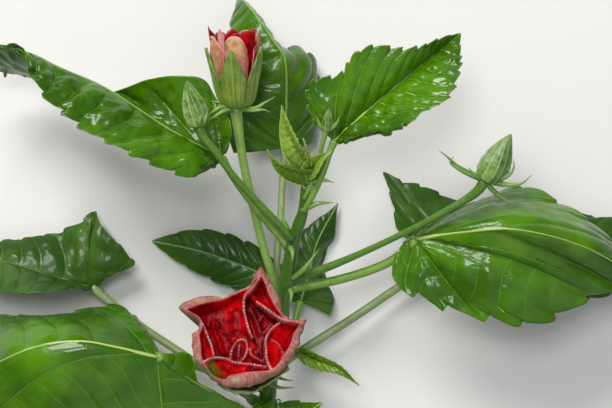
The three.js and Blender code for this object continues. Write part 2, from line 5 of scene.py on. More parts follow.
import bpy
import numpy as np
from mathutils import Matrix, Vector


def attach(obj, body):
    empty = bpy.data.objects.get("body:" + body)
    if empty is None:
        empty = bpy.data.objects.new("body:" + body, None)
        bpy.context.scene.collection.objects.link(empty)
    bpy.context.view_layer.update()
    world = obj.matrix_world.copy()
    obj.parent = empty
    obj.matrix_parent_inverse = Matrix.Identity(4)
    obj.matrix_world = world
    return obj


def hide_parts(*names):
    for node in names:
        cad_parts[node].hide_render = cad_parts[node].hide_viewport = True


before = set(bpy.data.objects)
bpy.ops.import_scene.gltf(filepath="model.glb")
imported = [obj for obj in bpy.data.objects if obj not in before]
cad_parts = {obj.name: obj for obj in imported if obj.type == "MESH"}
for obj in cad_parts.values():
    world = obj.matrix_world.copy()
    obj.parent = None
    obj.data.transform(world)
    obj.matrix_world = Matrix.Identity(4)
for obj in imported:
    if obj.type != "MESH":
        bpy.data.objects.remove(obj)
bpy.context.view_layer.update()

BOX_CENTRE = np.array([-4.4, -13.8, 0.0])
UP = np.array([0.0, 0.0, 1.0])
FULL_TURN = 2 * math.pi
FLOOR_CLEARANCE = 0.2
tooth_chance = np.random.default_rng(11)
relief_chance = np.random.default_rng(5)


# Curves and small number helpers

def unit(v):
    return v / np.maximum(np.linalg.norm(v, axis=-1, keepdims=True), 1e-9)


def smooth(x):
    """0 below 0, 1 above 1, and a soft step between."""
    x = np.clip(x, 0.0, 1.0)
    return x * x * (3 - 2 * x)


def bell(x, width):
    return np.exp(-((x / width) ** 2))


def stops(values, share):
    """Values at even steps, read at a share of the way."""
    return np.interp(share, np.linspace(0, 1, len(values)), values)


def full_circle(count):
    return np.linspace(0, FULL_TURN, count, endpoint=False)


class Curve:
    """Smooth curve through points, read by the share of its length."""

    def __init__(self, points, samples=600):
        points = np.array(points, float)
        padded = np.vstack([2 * points[0] - points[1], points, 2 * points[-1] - points[-2]])
        t = np.linspace(0, len(points) - 1, samples)
        i = np.minimum(t.astype(int), len(points) - 2)
        f = (t - i)[:, None]
        a, b, c, d = padded[i], padded[i + 1], padded[i + 2], padded[i + 3]
        bend = (2 * a - 5 * b + 4 * c - d) * f**2 + (3 * b - a - 3 * c + d) * f**3
        self.points = 0.5 * (2 * b + (c - a) * f + bend)
        steps = np.linalg.norm(np.diff(self.points, axis=0), axis=1)
        along = np.concatenate([[0], np.cumsum(steps)])
        self.length = along[-1]
        self.share = along / self.length
        self.tangents = unit(np.gradient(self.points, axis=0))

    def at(self, share):
        return np.stack([np.interp(share, self.share, self.points[:, k]) for k in range(3)], -1)

    def along(self, share):
        return unit(np.stack([np.interp(share, self.share, self.tangents[:, k]) for k in range(3)], -1))


def across(along):
    """Level direction to the left of a line, and the one that rises from both."""
    side = unit(np.cross(UP, along))
    return side, np.cross(along, side)


# Meshes

def make_piece(name, points, faces, material, nodes, marks):
    """Mesh from points in millimetres, arrays of faces, and one value of each mark for each point."""
    mesh = bpy.data.meshes.new(name)
    count = sum(len(f) for f in faces)
    loops = np.concatenate([f.ravel() for f in faces])
    totals = np.concatenate([np.full(len(f), f.shape[1]) for f in faces])
    starts = np.concatenate([[0], np.cumsum(totals)[:-1]])
    mesh.vertices.add(len(points))
    mesh.vertices.foreach_set("co", ((points - BOX_CENTRE) / 1000).ravel())
    mesh.loops.add(len(loops))
    mesh.loops.foreach_set("vertex_index", loops.astype(np.int32))
    mesh.polygons.add(count)
    mesh.polygons.foreach_set("loop_start", starts.astype(np.int32))
    mesh.update(calc_edges=True)
    mesh.polygons.foreach_set("use_smooth", np.ones(count, bool))
    for key, values in marks.items():
        layer = mesh.attributes.new(key, "FLOAT", "POINT")
        layer.data.foreach_set("value", np.asarray(values, np.float32))
    mesh.validate()
    mesh.materials.append(material)
    piece = bpy.data.objects.new(name, mesh)
    bpy.context.scene.collection.objects.link(piece)
    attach(piece, "root")
    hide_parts(*nodes)


def grid_faces(rows, columns, start=0, wrap=False, flip=False):
    near = np.arange(rows - 1)[:, None] * columns
    far = near + columns
    k = np.arange(columns if wrap else columns - 1)[None, :]
    after = (k + 1) % columns
    quads = np.stack([near + k, near + after, far + after, far + k], -1).reshape(-1, 4) + start
    return quads[:, ::-1] if flip else quads


def end_fans(rows, sides):
    """Triangles that close a tube with the two points that follow its grid, at the foot and the top."""
    k = np.arange(sides)
    after = (k + 1) % sides
    last = (rows - 1) * sides
    foot = np.stack([np.full(sides, rows * sides), after, k], -1)
    top = np.stack([np.full(sides, rows * sides + 1), last + k, last + after], -1)
    return [foot, top]


def sheet_faces(rows, columns, flip=False):
    """Thin closed sheet: a front grid, the back grid that follows it, and the wall round them."""
    count = rows * columns
    rim = np.concatenate([
        np.arange(columns), np.arange(1, rows) * columns + columns - 1,
        (rows - 1) * columns + np.arange(columns - 2, -1, -1), np.arange(rows - 2, 0, -1) * columns,
    ])
    after = np.roll(rim, -1)
    wall = np.stack([rim + count, after + count, after, rim], -1)
    return [
        grid_faces(rows, columns, flip=flip), grid_faces(rows, columns, start=count, flip=not flip),
        wall[:, ::-1] if flip else wall,
    ]


class Builder:
    """Gathers grids of points, with marks for each point, into one mesh."""

    def __init__(self, *keys):
        self.points = []
        self.faces = []
        self.marks = {key: [] for key in keys}
        self.count = 0

    def add(self, points, faces, **marks):
        self.points.append(points)
        self.faces += [f + self.count for f in faces]
        for key, kept in self.marks.items():
            kept.append(np.broadcast_to(marks.get(key, 0.0), (len(points),)))
        self.count += len(points)

    def piece(self, name, material, slot, *nodes):
        marks = {key: np.concatenate(kept) for key, kept in self.marks.items()}
        fours = [f for f in self.faces if f.shape[1] == 4]
        threes = [f for f in self.faces if f.shape[1] == 3]
        faces = [np.concatenate(group) for group in (fours, threes) if group]
        make_piece(name, np.concatenate(self.points), faces, material, nodes, marks)

    def tube(self, path, radius, sides=20, step=1.2, squash=1.0, **marks):
        """Round limb. A radius is a list of stops or a function of the share of its length."""
        curve = Curve(path)
        rings = max(8, int(curve.length / step))
        share = np.linspace(0, 1, rings)
        size = radius(share) if callable(radius) else stops(radius, share)
        side, rise = across(curve.along(share))
        turn = full_circle(sides)
        level = np.cos(turn)[None, :, None] * side[:, None]
        upright = squash * np.sin(turn)[None, :, None] * rise[:, None]
        points = curve.at(share)[:, None] + (level + upright) * size[:, None, None]
        points = np.concatenate([points.reshape(-1, 3), curve.at(np.array([0.0, 1.0]))])
        given = {"place": along_it, **marks}
        for key, value in given.items():
            if callable(value):
                grid = value(share, turn)
                given[key] = np.concatenate([grid.ravel(), grid[0, :1], grid[-1, :1]])
        self.add(points, [grid_faces(rings, sides, wrap=True), *end_fans(rings, sides)], **given)


# Marks for the points of a tube

def along_it(share, turn):
    return np.repeat(share[:, None], len(turn), 1)


def down_its_middle(share, turn):
    return np.repeat(bell(turn - math.pi / 2, 0.35)[None, :], len(share), 0)


def on_top(share, turn):
    return np.repeat(np.clip(np.sin(turn), 0, 1)[None, :] ** 2, len(share), 0)


# Materials

class Nodes:
    """Short names for building a node material."""

    def __init__(self, name, **fixed):
        self.material = bpy.data.materials.new(name)
        self.material.use_nodes = True
        self.tree = self.material.node_tree
        self.shader = self.tree.nodes["Principled BSDF"]
        for key, value in fixed.items():
            self.shader.inputs[key.replace("_", " ")].default_value = value

    def put(self, socket, value):
        if isinstance(value, bpy.types.NodeSocket):
            self.tree.links.new(value, socket)
        elif isinstance(value, tuple) and len(value) == 3 and socket.type == "RGBA":
            socket.default_value = (*value, 1)
        else:
            socket.default_value = value

    def node(self, kind, inputs, **settings):
        node = self.tree.nodes.new(kind)
        for key, value in settings.items():
            setattr(node, key, value)
        for key, value in inputs.items():
            self.put(node.inputs[key], value)
        return node.outputs[0]

    def math(self, operation, a, b):
        return self.node("ShaderNodeMath", {0: a, 1: b}, operation=operation)

    def times(self, a, b):
        return self.math("MULTIPLY", a, b)

    def plus(self, a, b):
        return self.math("ADD", a, b)

    def higher(self, a, b):
        return self.math("MAXIMUM", a, b)

    def mark(self, key):
        node = self.tree.nodes.new("ShaderNodeAttribute")
        node.attribute_name = key
        return node.outputs["Fac"]

    def range(self, value, low, high, to_low=0.0, to_high=1.0):
        inputs = {"Value": value, "From Min": low, "From Max": high, "To Min": to_low, "To Max": to_high}
        return self.node("ShaderNodeMapRange", inputs, interpolation_type="SMOOTHSTEP")

    def mix(self, share, a, b):
        node = self.tree.nodes.new("ShaderNodeMix")
        node.data_type = "RGBA"
        self.put(node.inputs[0], share)
        self.put(node.inputs[6], a)
        self.put(node.inputs[7], b)
        return node.outputs[2]

    def place(self):
        return self.tree.nodes.new("ShaderNodeTexCoord").outputs["Object"]

    def noise(self, scale, detail=2.0):
        inputs = {"Vector": self.place(), "Scale": scale, "Detail": detail, "Roughness": 0.5}
        return self.node("ShaderNodeTexNoise", inputs)

    def patches(self, scale, detail=2.0, low=0.3, high=0.7, to_low=0.0, to_high=1.0):
        return self.range(self.noise(scale, detail), low, high, to_low, to_high)

    def cells(self, scale, feature="F1"):
        return self.node("ShaderNodeTexVoronoi", {"Vector": self.place(), "Scale": scale}, feature=feature)

    def bump(self, height, strength, distance):
        normal = self.node("ShaderNodeBump", {"Height": height, "Strength": strength, "Distance": distance})
        self.tree.links.new(normal, self.shader.inputs["Normal"])

    def colour(self, value):
        self.put(self.shader.inputs["Base Color"], value)

    def rough(self, value):
        self.put(self.shader.inputs["Roughness"], value)


def leaf_material(name, dark, light, vein, under, rib_colour, gloss, pebble, lines=0.5, coat=0.3):
    """Glossy blade. Marks give the distance to the midrib, the place between veins and the face."""
    n = Nodes(name, Coat_Weight=coat, Coat_Roughness=0.06, Specular_IOR_Level=0.2)
    lamina = n.mix(n.patches(45, 3, low=0.35), dark, light)
    lamina = n.mix(n.times(n.noise(420), 0.3), lamina, dark)

    def off_line(phase, spacing):
        """Distance from the nearest vein, in millimetres."""
        apart = n.math("SUBTRACT", n.mark(phase), n.math("ROUND", n.mark(phase), 0.0))
        return n.times(n.math("ABSOLUTE", apart, 0.0), n.mark(spacing))
    reach = off_line("veins", "spacing")
    main = n.times(n.range(reach, 0.06, 0.36, 1.0, 0.0), n.mark("weight"))
    fine = n.range(off_line("branches", "branch_spacing"), 0.05, 0.3, 0.5, 0.0)
    fine = n.times(fine, n.mark("branched"))
    # Painted shade: the blade is darker next to each vein, in the groove that the vein sinks into.
    groove = n.times(n.range(reach, 0.2, 1.8, 0.5, 0.0), n.mark("weight"))
    fade = n.range(n.mark("outer"), 0.5, 1.0, lines, 0.3 * lines)
    midrib = n.range(n.mark("from_midrib"), 0.12, 0.5, 1.0, 0.0)
    top = n.mix(groove, lamina, dark)
    top = n.mix(n.times(n.higher(main, fine), fade), top, vein)
    top = n.mix(midrib, top, rib_colour)
    top = n.mix(n.range(n.mark("to_edge"), 0.1, 0.5, 0.7 * lines, 0.0), top, vein)
    below = n.mix(n.higher(n.times(main, lines), midrib), n.mix(n.patches(90), under, dark), rib_colour)
    n.colour(n.mix(n.mark("under"), top, below))
    n.rough(n.plus(n.patches(150, to_low=gloss, to_high=gloss + 0.14), n.times(n.mark("under"), 0.2)))
    wrinkle = n.plus(n.times(n.cells(330), -0.6), n.noise(700, 3))
    n.bump(n.plus(wrinkle, n.times(n.cells(150), -1.2)), pebble, 0.0004)
    return n.material


def skin_material(name, low, high, patch, gloss):
    """Stalks and stems: a colour that changes from their foot on, with fine patches and specks."""
    n = Nodes(name)
    base = n.mix(n.range(n.mark("place"), 0.0, 0.3), low, high)
    base = n.mix(n.patches(500, 3, low=0.35, to_high=0.3), base, patch)
    # Paler patches along the upper side of the leaf stalks.
    base = n.mix(n.times(n.mark("blush"), n.patches(120, high=0.6)), base, patch)
    specks = n.range(n.cells(900), 0.05, 0.16, 0.15, 0.0)
    n.colour(n.mix(specks, base, SPECK))
    n.rough(n.patches(300, to_low=gloss - 0.08, to_high=gloss + 0.1))
    n.bump(n.plus(n.noise(900, 3), n.times(n.noise(260), 0.8)), 0.35, 0.0003)
    return n.material


def sepal_material(name, base_colour, tip_colour, rib_colour, gloss, rib_share=0.75):
    """Sepals and bracts: a colour that runs to the tip, painted shade in the creases, a fine net and pale
    ribs.
    """
    n = Nodes(name, Sheen_Weight=0.05, Sheen_Roughness=0.5, Specular_IOR_Level=0.4)
    base = n.mix(n.mark("height"), base_colour, tip_colour)
    # Painted shade darkens the creases between and along the sepals.
    base = n.mix(n.mark("crease_shade"), base, CREASE_SHADE)
    base = n.mix(n.patches(260, 3, low=0.35, to_high=0.35), base, rib_colour)
    net = n.range(n.cells(420, "DISTANCE_TO_EDGE"), 0.02, 0.09, 0.22, 0.0)
    lines = n.higher(net, n.times(n.mark("rib"), rib_share))
    n.colour(n.mix(lines, base, rib_colour))
    n.rough(gloss)
    n.bump(n.plus(n.noise(1500, 3), n.times(lines, 0.8)), 0.4, 0.00025)
    return n.material


def petal_material(name, inner_dark, inner_light, pink, peach, gold, golden, downy):
    """Petals: deep red inside, with painted shade in the recesses; downy pink and peach outside; a pale edge
    that is partly a painted highlight.
    """
    n = Nodes(name, Coat_Weight=0.02, Coat_Roughness=0.15, Specular_IOR_Level=0.05)
    inside = n.mix(n.patches(240, 4, 0.34, 0.66), inner_dark, inner_light)
    # Painted shade: the deep mark darkens the bloom's recesses and the faces inside the bud.
    inside = n.mix(n.mark("deep"), inside, RECESS_SHADE_RED)
    outside = n.mix(n.patches(190, 3, 0.35, 0.68), pink, peach)
    shift = 0.3 * golden
    outside = n.mix(n.patches(420, 3, 0.62 - shift, 0.85 - shift, 0.0, 0.5 + 0.5 * golden), outside, gold)
    outside = n.mix(n.mark("rosy"), outside, ROSE)
    outside = n.mix(n.patches(1300, 2, 0.45, 0.75, 0.0, downy), outside, DOWN)
    skin = n.mix(n.mark("outside"), inside, outside)
    skin = n.mix(n.mark("leafy"), skin, OLIVE)
    n.colour(n.mix(n.mark("frill"), skin, FRILL_AND_HIGHLIGHT))
    n.rough(n.plus(n.times(n.mark("outside"), 0.3), n.patches(240, to_low=0.24, to_high=0.34)))
    n.bump(n.noise(620, 3), n.range(n.mark("outside"), 0, 1, 0.05, 0.25), 0.0005)
    return n.material


SPECK = (0.45, 0.55, 0.25)
# Dark green painted as shade in the creases of sepals and bracts
CREASE_SHADE = (0.02, 0.07, 0.004)
# Dark red painted as shade in the petals' recesses
RECESS_SHADE_RED = (0.06, 0.0, 0.002)
ROSE = (0.34, 0.015, 0.03)
DOWN = (0.42, 0.36, 0.34)
OLIVE = (0.07, 0.08, 0.006)
# Pale pink of the petals' edges, partly a painted highlight on crests and the rim
FRILL_AND_HIGHLIGHT = (0.84, 0.52, 0.54)
# Colours: dark, light, veins, underside, midrib; then gloss, pebbling, strength of the lines and coat
LEAF_SKINS = {
    "bright": leaf_material(
        "bright_blade", (0.03, 0.105, 0.0), (0.08, 0.225, 0.001), (0.2, 0.4, 0.03), (0.16, 0.27, 0.03),
        (0.4, 0.52, 0.16), 0.2, 0.4,
    ),
    # The deep blade's underside colour is a dark green that paints in shade.
    "deep": leaf_material(
        "deep_blade", (0.024, 0.09, 0.0), (0.066, 0.185, 0.001), (0.14, 0.3, 0.02), (0.05, 0.12, 0.006),
        (0.2, 0.36, 0.06), 0.18, 0.6, 0.25,
    ),
    "shade": leaf_material(
        "shaded_blade", (0.018, 0.065, 0.004), (0.054, 0.145, 0.01), (0.14, 0.26, 0.05), (0.09, 0.17, 0.04),
        (0.22, 0.34, 0.1), 0.3, 0.3, 0.35, 0.12,
    ),
    "young": leaf_material(
        "young_blade", (0.06, 0.14, 0.004), (0.17, 0.32, 0.012), (0.36, 0.52, 0.08), (0.09, 0.11, 0.005),
        (0.36, 0.5, 0.1), 0.16, 0.5, 0.3,
    ),
    "pale": leaf_material(
        "pale_young_blade", (0.13, 0.23, 0.015), (0.28, 0.43, 0.05), (0.5, 0.62, 0.2), (0.14, 0.2, 0.02),
        (0.45, 0.58, 0.2), 0.15, 0.7, 0.3,
    ),
}
# Colours: foot, rest, patches; then roughness
STALK_SKINS = {
    key: skin_material(f"{key}_skin", *values)
    for key, values in {
        "stem": ((0.022, 0.075, 0.002), (0.036, 0.11, 0.004), (0.085, 0.19, 0.02), 0.36),
        "dark_stalk": ((0.03, 0.1, 0.003), (0.06, 0.16, 0.008), (0.13, 0.25, 0.03), 0.34),
        "light_stalk": ((0.09, 0.19, 0.02), (0.17, 0.29, 0.05), (0.28, 0.4, 0.1), 0.36),
        "green_stalk": ((0.055, 0.16, 0.006), (0.1, 0.24, 0.015), (0.2, 0.34, 0.06), 0.34),
        "pale_stalk": ((0.09, 0.17, 0.03), (0.16, 0.25, 0.07), (0.25, 0.33, 0.15), 0.42),
    }.items()
}
# Colours: foot, tip, ribs; then roughness and the share of the ribs
SEPAL_SKINS = {
    key: sepal_material(f"{key}_skin", *values)
    for key, values in {
        "calyx": ((0.17, 0.25, 0.008), (0.08, 0.17, 0.02), (0.3, 0.4, 0.09), 0.44, 0.5),
        # A paler copy of the calyx colours for the open flower, as painted light.
        "painted_light_calyx": ((0.17, 0.27, 0.03), (0.27, 0.36, 0.13), (0.42, 0.5, 0.24), 0.44, 0.5),
        "bud": ((0.07, 0.18, 0.004), (0.045, 0.13, 0.01), (0.4, 0.52, 0.22), 0.34),
        "bract": ((0.07, 0.18, 0.01), (0.13, 0.26, 0.04), (0.24, 0.38, 0.1), 0.4),
    }.items()
}
PETAL_SKIN = petal_material(
    "petal_skin", (0.15, 0.0, 0.001), (0.52, 0.0, 0.002), (0.13, 0.032, 0.027), (0.21, 0.12, 0.07),
    (0.32, 0.26, 0.11), 0.7, 0.34,
)
BUD_PETAL_SKIN = petal_material(
    "bud_petal_skin", (0.16, 0.0, 0.001), (0.44, 0.0, 0.002), (0.42, 0.13, 0.09), (0.5, 0.27, 0.13),
    (0.46, 0.36, 0.11), 0.75, 0.34,
)


# Leaves

# A pair of values goes left, then right, as seen from base to tip. A share runs from 0 to 1.
# margins: x, y and z of each point, and the share of the midrib that its vein leaves from
# widths, bases, taper, lobes, tilts: the margin of a plainer leaf, by rule, with its tilts in degrees
# ribs: the main veins that fan out from the base, by the share of the margin where they end
# side_veins: the shares of the midrib where the side veins leave it
# bulge: how far a half arches up, as a share of its width; follow: how much of the midrib's arch it takes
# quilt: height of the pillows between veins; crinkle: share of finer relief, in patches as wide as cell
# toothed: the stretch of the margin that has teeth; inset: how much of a tooth's depth is cut inward
# edge: how far the teeth wave up and down; rib, rib_lift: the midrib's radius, and how far it is raised
# grid: rows along the margin, and columns from the midrib out
LEAVES = {
    "upper_left": dict(
        skin="deep", stalk_skin="green_stalk",
        stalk=[[-6.9, -16.5, 41], [-16.9, -4.6, 43], [-24.5, 5.4, 45], [-29, 12.2, 47], [-32.2, 17.8, 47.1]],
        radius=1.4,
        midrib=[
            [-32, 17.6, 47], [-52.5, 28.5, 50], [-75.5, 43.5, 52], [-93, 51.5, 52],
            [-105.8, 57.6, 50], [-118, 59.5, 47], [-129.3, 55.4, 41],
        ],
        margins=[
            [
                (-34.5, 18.5, 47, 0), (-35, 15.5, 49, 0), (-37.5, 12.5, 54, 0), (-41, 11, 58, 0),
                (-46, 11.5, 61, 0), (-52.5, 13.5, 63, 0), (-57.5, 16, 64, 0),
                (-62.5, 18.5, 64, 0.06), (-68.5, 21.5, 65, 0.17), (-74, 24, 65, 0.27),
                (-78.5, 26, 65, 0.35), (-83.5, 29.5, 64, 0.43), (-88.5, 34, 64, 0.51),
                (-93.5, 37.5, 63, 0.59), (-98, 42, 62, 0.68), (-102, 47.5, 60, 0.76),
                (-104, 52, 57, 0.8), (-106, 57, 53, 0.86), (-111.5, 59, 51, 0.9),
                (-120, 59, 47, 0.95), (-129.5, 55.5, 41, 1),
            ],
            [
                (-32, 20.5, 47, 0), (-29, 23, 48, 0), (-28, 28, 49, 0), (-29.5, 32.5, 48, 0),
                (-32.5, 36.5, 46, 0), (-35, 41.5, 46, 0), (-37.5, 46.5, 47, 0),
                (-40.5, 48.5, 48, 0), (-45, 49, 48, 0), (-51, 49, 47, 0),
                (-56, 48.5, 45, 0.02), (-62, 47.5, 42, 0.05), (-69, 45.5, 36, 0.12),
                (-75.5, 44, 28, 0.25), (-82.5, 42, 23, 0.4), (-89.5, 42.5, 21, 0.52),
                (-97.5, 45, 20, 0.63), (-106, 48.5, 20, 0.74), (-115, 50.5, 22, 0.84),
                (-123.5, 52.5, 29, 0.93), (-129.5, 55.5, 41, 1),
            ],
        ],
        ribs=[[0.1, 0.29], [0.2, 0.42]], bulge=[0.11, -0.04], quilt=[1.5, 0.9], edge=1.2, crinkle=0.8,
        tooth_depth=4.0, tooth_length=9.6, toothed=[[0.12, 1], [0.6, 1]], inset=0.05, grid=(240, 36),
    ),
    "upper_right": dict(
        skin="bright", stalk_skin="green_stalk",
        stalk=[[-1, -2.5, 52], [2.5, 3.5, 56], [6, 11, 60], [8.5, 18.5, 62], [10.7, 23.8, 63]],
        radius=1.3,
        midrib=[[10.5, 23.5, 63], [22, 34, 65], [38.5, 48, 66], [58, 64, 60]],
        margins=[
            [
                (10.5, 24, 63, 0), (9.5, 25.5, 64, 0), (4.5, 29, 65, 0), (1, 34.5, 67, 0), (0, 40, 68, 0),
                (0.5, 45, 69, 0), (5, 46.5, 70, 0), (11, 47, 71, 0), (14.5, 49, 72, 0), (16.5, 52.5, 73, 0),
                (19.5, 56, 74, 0), (22.5, 58, 74, 0.03), (27, 58.5, 74, 0.12), (32.5, 57.5, 73, 0.25),
                (36, 57, 73, 0.37), (40.5, 57.5, 71, 0.5), (46, 60, 68, 0.68), (51.5, 62.5, 65, 0.84),
                (58, 64, 60, 1),
            ],
            [
                (11, 23, 63, 0), (14.5, 23, 65.5, 0), (20.5, 24, 71, 0), (27, 25.5, 76, 0),
                (31, 26.5, 79.5, 0.01), (35.5, 28.5, 83, 0.03), (40, 30, 84.5, 0.08),
                (42.5, 33, 84.5, 0.16), (46, 34.5, 83, 0.26),
                (49.5, 36.5, 81, 0.36), (52, 39, 79.5, 0.46), (54, 42, 78, 0.55), (55.5, 46, 74.5, 0.66),
                (57, 50.5, 71, 0.76), (57.5, 55, 65.5, 0.86), (57.5, 59.5, 63, 0.94), (58, 64, 60, 1),
            ],
        ],
        ribs=[[0.2, 0.42, 0.6], [0.3, 0.5]], bulge=[0.05, 0.05], tooth_length=5.5, tooth_depth=2.2,
        toothed=[[0.02, 1], [0.25, 1]], quilt=[0.5, 1.2], crinkle=1.1, rib_lift=0.8, grid=(240, 36),
    ),
    "right": dict(
        skin="bright", stalk_skin="green_stalk",
        stalk=[[-7.5, -33, 34], [9.5, -30, 38], [24.5, -25.5, 42], [34.5, -20.5, 46], [41.8, -13.4, 50.1]],
        radius=1.75,
        midrib=[[41.5, -13.5, 50], [58.5, -10.5, 60], [79.5, -9.5, 66], [106.5, -17, 60], [134, -33, 44]],
        margins=[
            [
                (42, -14.5, 50, 0), (44, -12, 48, 0), (47.5, -8.5, 44, 0), (52, -5.5, 41, 0),
                (56.5, -3, 38, 0), (61.5, -1, 36, 0), (67.5, 1, 35, 0), (73, 3, 35, 0),
                (79, 5, 35, 0), (85.5, 6, 36, 0), (92.5, 4, 36, 0), (98.5, 0, 36, 0),
                (104.5, -3, 36, 0), (110.5, -8.5, 36, 0), (117, -14, 35, 0.01),
                (123.5, -20, 36, 0.05), (130, -26.5, 39, 0.5), (134, -33, 44, 1),
            ],
            [
                (40.5, -16, 50, 0), (38, -15, 50, 0), (35.5, -16.5, 50, 0), (33.5, -20, 50, 0),
                (32.5, -24.5, 50, 0), (33, -28.5, 50, 0), (35.5, -32, 50, 0), (40, -34, 50, 0),
                (45, -36, 50, 0), (51.5, -38.5, 50, 0), (54.5, -40, 51, 0),
                (61.5, -41.5, 52, 0), (67, -43.5, 53, 0), (76, -44.5, 54, 0),
                (83, -45.5, 54, 0), (92.5, -43.5, 53, 0), (98, -41, 52, 0),
                (105.5, -37, 50, 0.02), (113.5, -33, 47, 0.08), (122.5, -30.5, 44, 0.45),
                (129, -30.5, 42, 0.8), (134, -33, 44, 1),
            ],
        ],
        ribs=[[0.35, 0.84], [0.19, 0.42, 0.78]], bulge=[0.04, 0.03], quilt=[0.9, 1.9], edge=1.0,
        follow=[1, 0.6], crinkle=0.25, side_veins=[0.3, 0.7], tooth_length=13.5, tooth_depth=3.8,
        toothed=[[0.1, 0.12], [0.12, 1]], grid=(230, 40),
    ),
    "left": dict(
        skin="bright", stalk_skin="green_stalk",
        stalk=[[-15, -74.5, 14], [-28, -69.5, 18], [-41.5, -64, 28], [-51.5, -59.5, 40], [-56.8, -58.4, 48]],
        radius=1.7,
        midrib=[
            [-56.5, -58.5, 48], [-71.5, -54.5, 53], [-86.5, -52, 55],
            [-105, -55, 54], [-128, -67, 44], [-148, -84, 24],
        ],
        margins=[
            [
                (-55.5, -60.5, 47.5, 0), (-53.5, -59, 46, 0), (-50, -57.5, 45, 0), (-46.5, -57, 44, 0),
                (-44, -58, 43, 0), (-43, -62.5, 43, 0), (-41.5, -69, 42, 0), (-38.5, -72.5, 41, 0),
                (-32.5, -75.5, 38, 0), (-25.5, -78, 35, 0), (-22, -81.5, 33, 0), (-21.5, -86.5, 31, 0),
                (-24.5, -92, 31, 0), (-31, -98, 32, 0), (-39.5, -102.5, 33, 0), (-49, -105.5, 34, 0),
                (-60.5, -107.5, 34, 0), (-72.5, -108.5, 34, 0), (-84, -108, 34, 0),
                (-96, -107, 33, 0), (-107.5, -105.5, 32, 0), (-119.5, -103, 30, 0),
                (-132, -98.5, 27, 0.02), (-141, -92, 25, 0.25), (-148, -84, 24, 1),
            ],
            [
                (-56, -58.5, 48, 0), (-57.5, -54.5, 44, 0), (-61, -49, 36, 0), (-66, -45.5, 30, 0),
                (-71, -42, 25, 0), (-77.5, -40.5, 22, 0.01), (-83.5, -41, 22, 0.03),
                (-89, -42, 23, 0.08), (-96, -43.5, 24, 0.16), (-104, -45, 24, 0.27),
                (-111, -45, 22, 0.38), (-121.5, -44.5, 18, 0.52), (-132, -49, 14, 0.68),
                (-141.5, -58.5, 14, 0.82), (-146.5, -72, 18, 0.94), (-148, -84, 24, 1),
            ],
        ],
        ribs=[[0.25, 0.5, 0.9], [0.14, 0.33]], bulge=[0.03, 0.07], quilt=0.9, tooth_length=12,
        tooth_depth=2.2, grid=(230, 54),
    ),
    "far_left": dict(
        skin="shade", stalk_skin="pale_stalk",
        stalk=[
            [-16.5, -80.5, 11], [-30.5, -73, 9], [-48.5, -61, 9],
            [-66.5, -49, 10], [-80.5, -38, 11], [-85.8, -33.2, 12],
        ],
        radius=1.6,
        midrib=[[-85.5, -33.5, 12], [-102, -28.5, 16], [-122.5, -23, 14], [-147.5, -23.5, 3]],
        margins=[
            [
                (-86, -34, 13, 0), (-88.5, -33.5, 22, 0), (-90.5, -33.5, 28, 0.03), (-95, -34, 32, 0.1),
                (-99.5, -34, 34, 0.18), (-104.5, -34.5, 34, 0.28), (-109.5, -35, 33, 0.38),
                (-115, -35, 31, 0.48), (-120, -35, 28, 0.58), (-129, -33.5, 20, 0.75),
                (-139, -29.5, 11, 0.88), (-147, -23.5, 3, 1),
            ],
            [
                (-84.5, -33.5, 12, 0), (-82.5, -31, 13, 0), (-79, -28.5, 14, 0), (-74, -26.5, 14, 0),
                (-69, -25, 13, 0), (-68, -23.5, 12, 0), (-71, -20.5, 13, 0), (-75, -15.5, 15, 0),
                (-79, -12, 15, 0.01), (-82.5, -7, 13, 0.02), (-84, -4, 10, 0.02), (-85.5, -2, 8, 0.03),
                (-87.5, -4, 9, 0.05), (-90, -7, 10, 0.07), (-93.5, -9, 9, 0.09), (-97, -10, 7, 0.12),
                (-99, -12.5, 8, 0.15), (-104.5, -13, 8, 0.24), (-110.5, -14, 8, 0.34),
                (-117, -14.5, 8, 0.46), (-123.5, -14.5, 7, 0.56), (-132, -16, 5, 0.7),
                (-140.5, -19, 3, 0.85), (-147, -23.5, 3, 1),
            ],
        ],
        ribs=[[0.2], [0.16, 0.42, 0.6]], bulge=[0.06, 0.09], tooth_depth=0.9, quilt=0.9, crinkle=0.7,
    ),
    "back_left": dict(
        skin="shade", stalk_skin="green_stalk",
        stalk=[[-12, -52, 24], [-14.5, -42, 15], [-15.6, -28.8, 10.2]],
        radius=1.4,
        midrib=[[-15.5, -29, 10], [-28.5, -23.5, 10], [-44.5, -18.5, 8], [-62.5, -15, 3]],
        taper=1, widths=[10, 10], bases=[0.9, 0.9], lobes=[3, 3],
        tilts=[[-15, -15, -10], [-15, -10, -10]], quilt=0.6, tooth_depth=1.4,
    ),
    "back_middle": dict(
        skin="shade", stalk_skin="green_stalk",
        stalk=[[-13, -60, 20], [-6, -51, 14], [-2.3, -39.2, 10.1]],
        radius=1.4,
        midrib=[[-2.4, -39.6, 10], [0.8, -28.5, 10], [4.8, -14.5, 8], [13, 0.4, 3]],
        widths=[11, 15], bases=[0.7, 1], lobes=[2, 3],
        tilts=[[-10, -10, -10, -10, -10, -10], [0, -45, -72, -66, -20, 0]], quilt=0.6, tooth_depth=1.4,
    ),
    "back_top": dict(
        skin="deep", stalk_skin="pale_stalk",
        stalk=[
            [-11, -42, 27], [-11.4, -32.5, 26.5], [-11.4, -20, 25.5],
            [-10.2, -8.3, 24], [-9.5, 5.5, 22], [-8.3, 22.6, 19.1],
        ],
        radius=1.4,
        midrib=[
            [-8.3, 22.2, 19], [-7.9, 37, 24], [-8.2, 55.6, 28], [-12.5, 63.5, 28],
            [-19.7, 74.4, 25], [-24.7, 80.9, 16], [-27.5, 83.8, 4],
        ],
        taper=0.9, widths=[25, 22], bases=[1.5, 1.3], lobes=[4, 2],
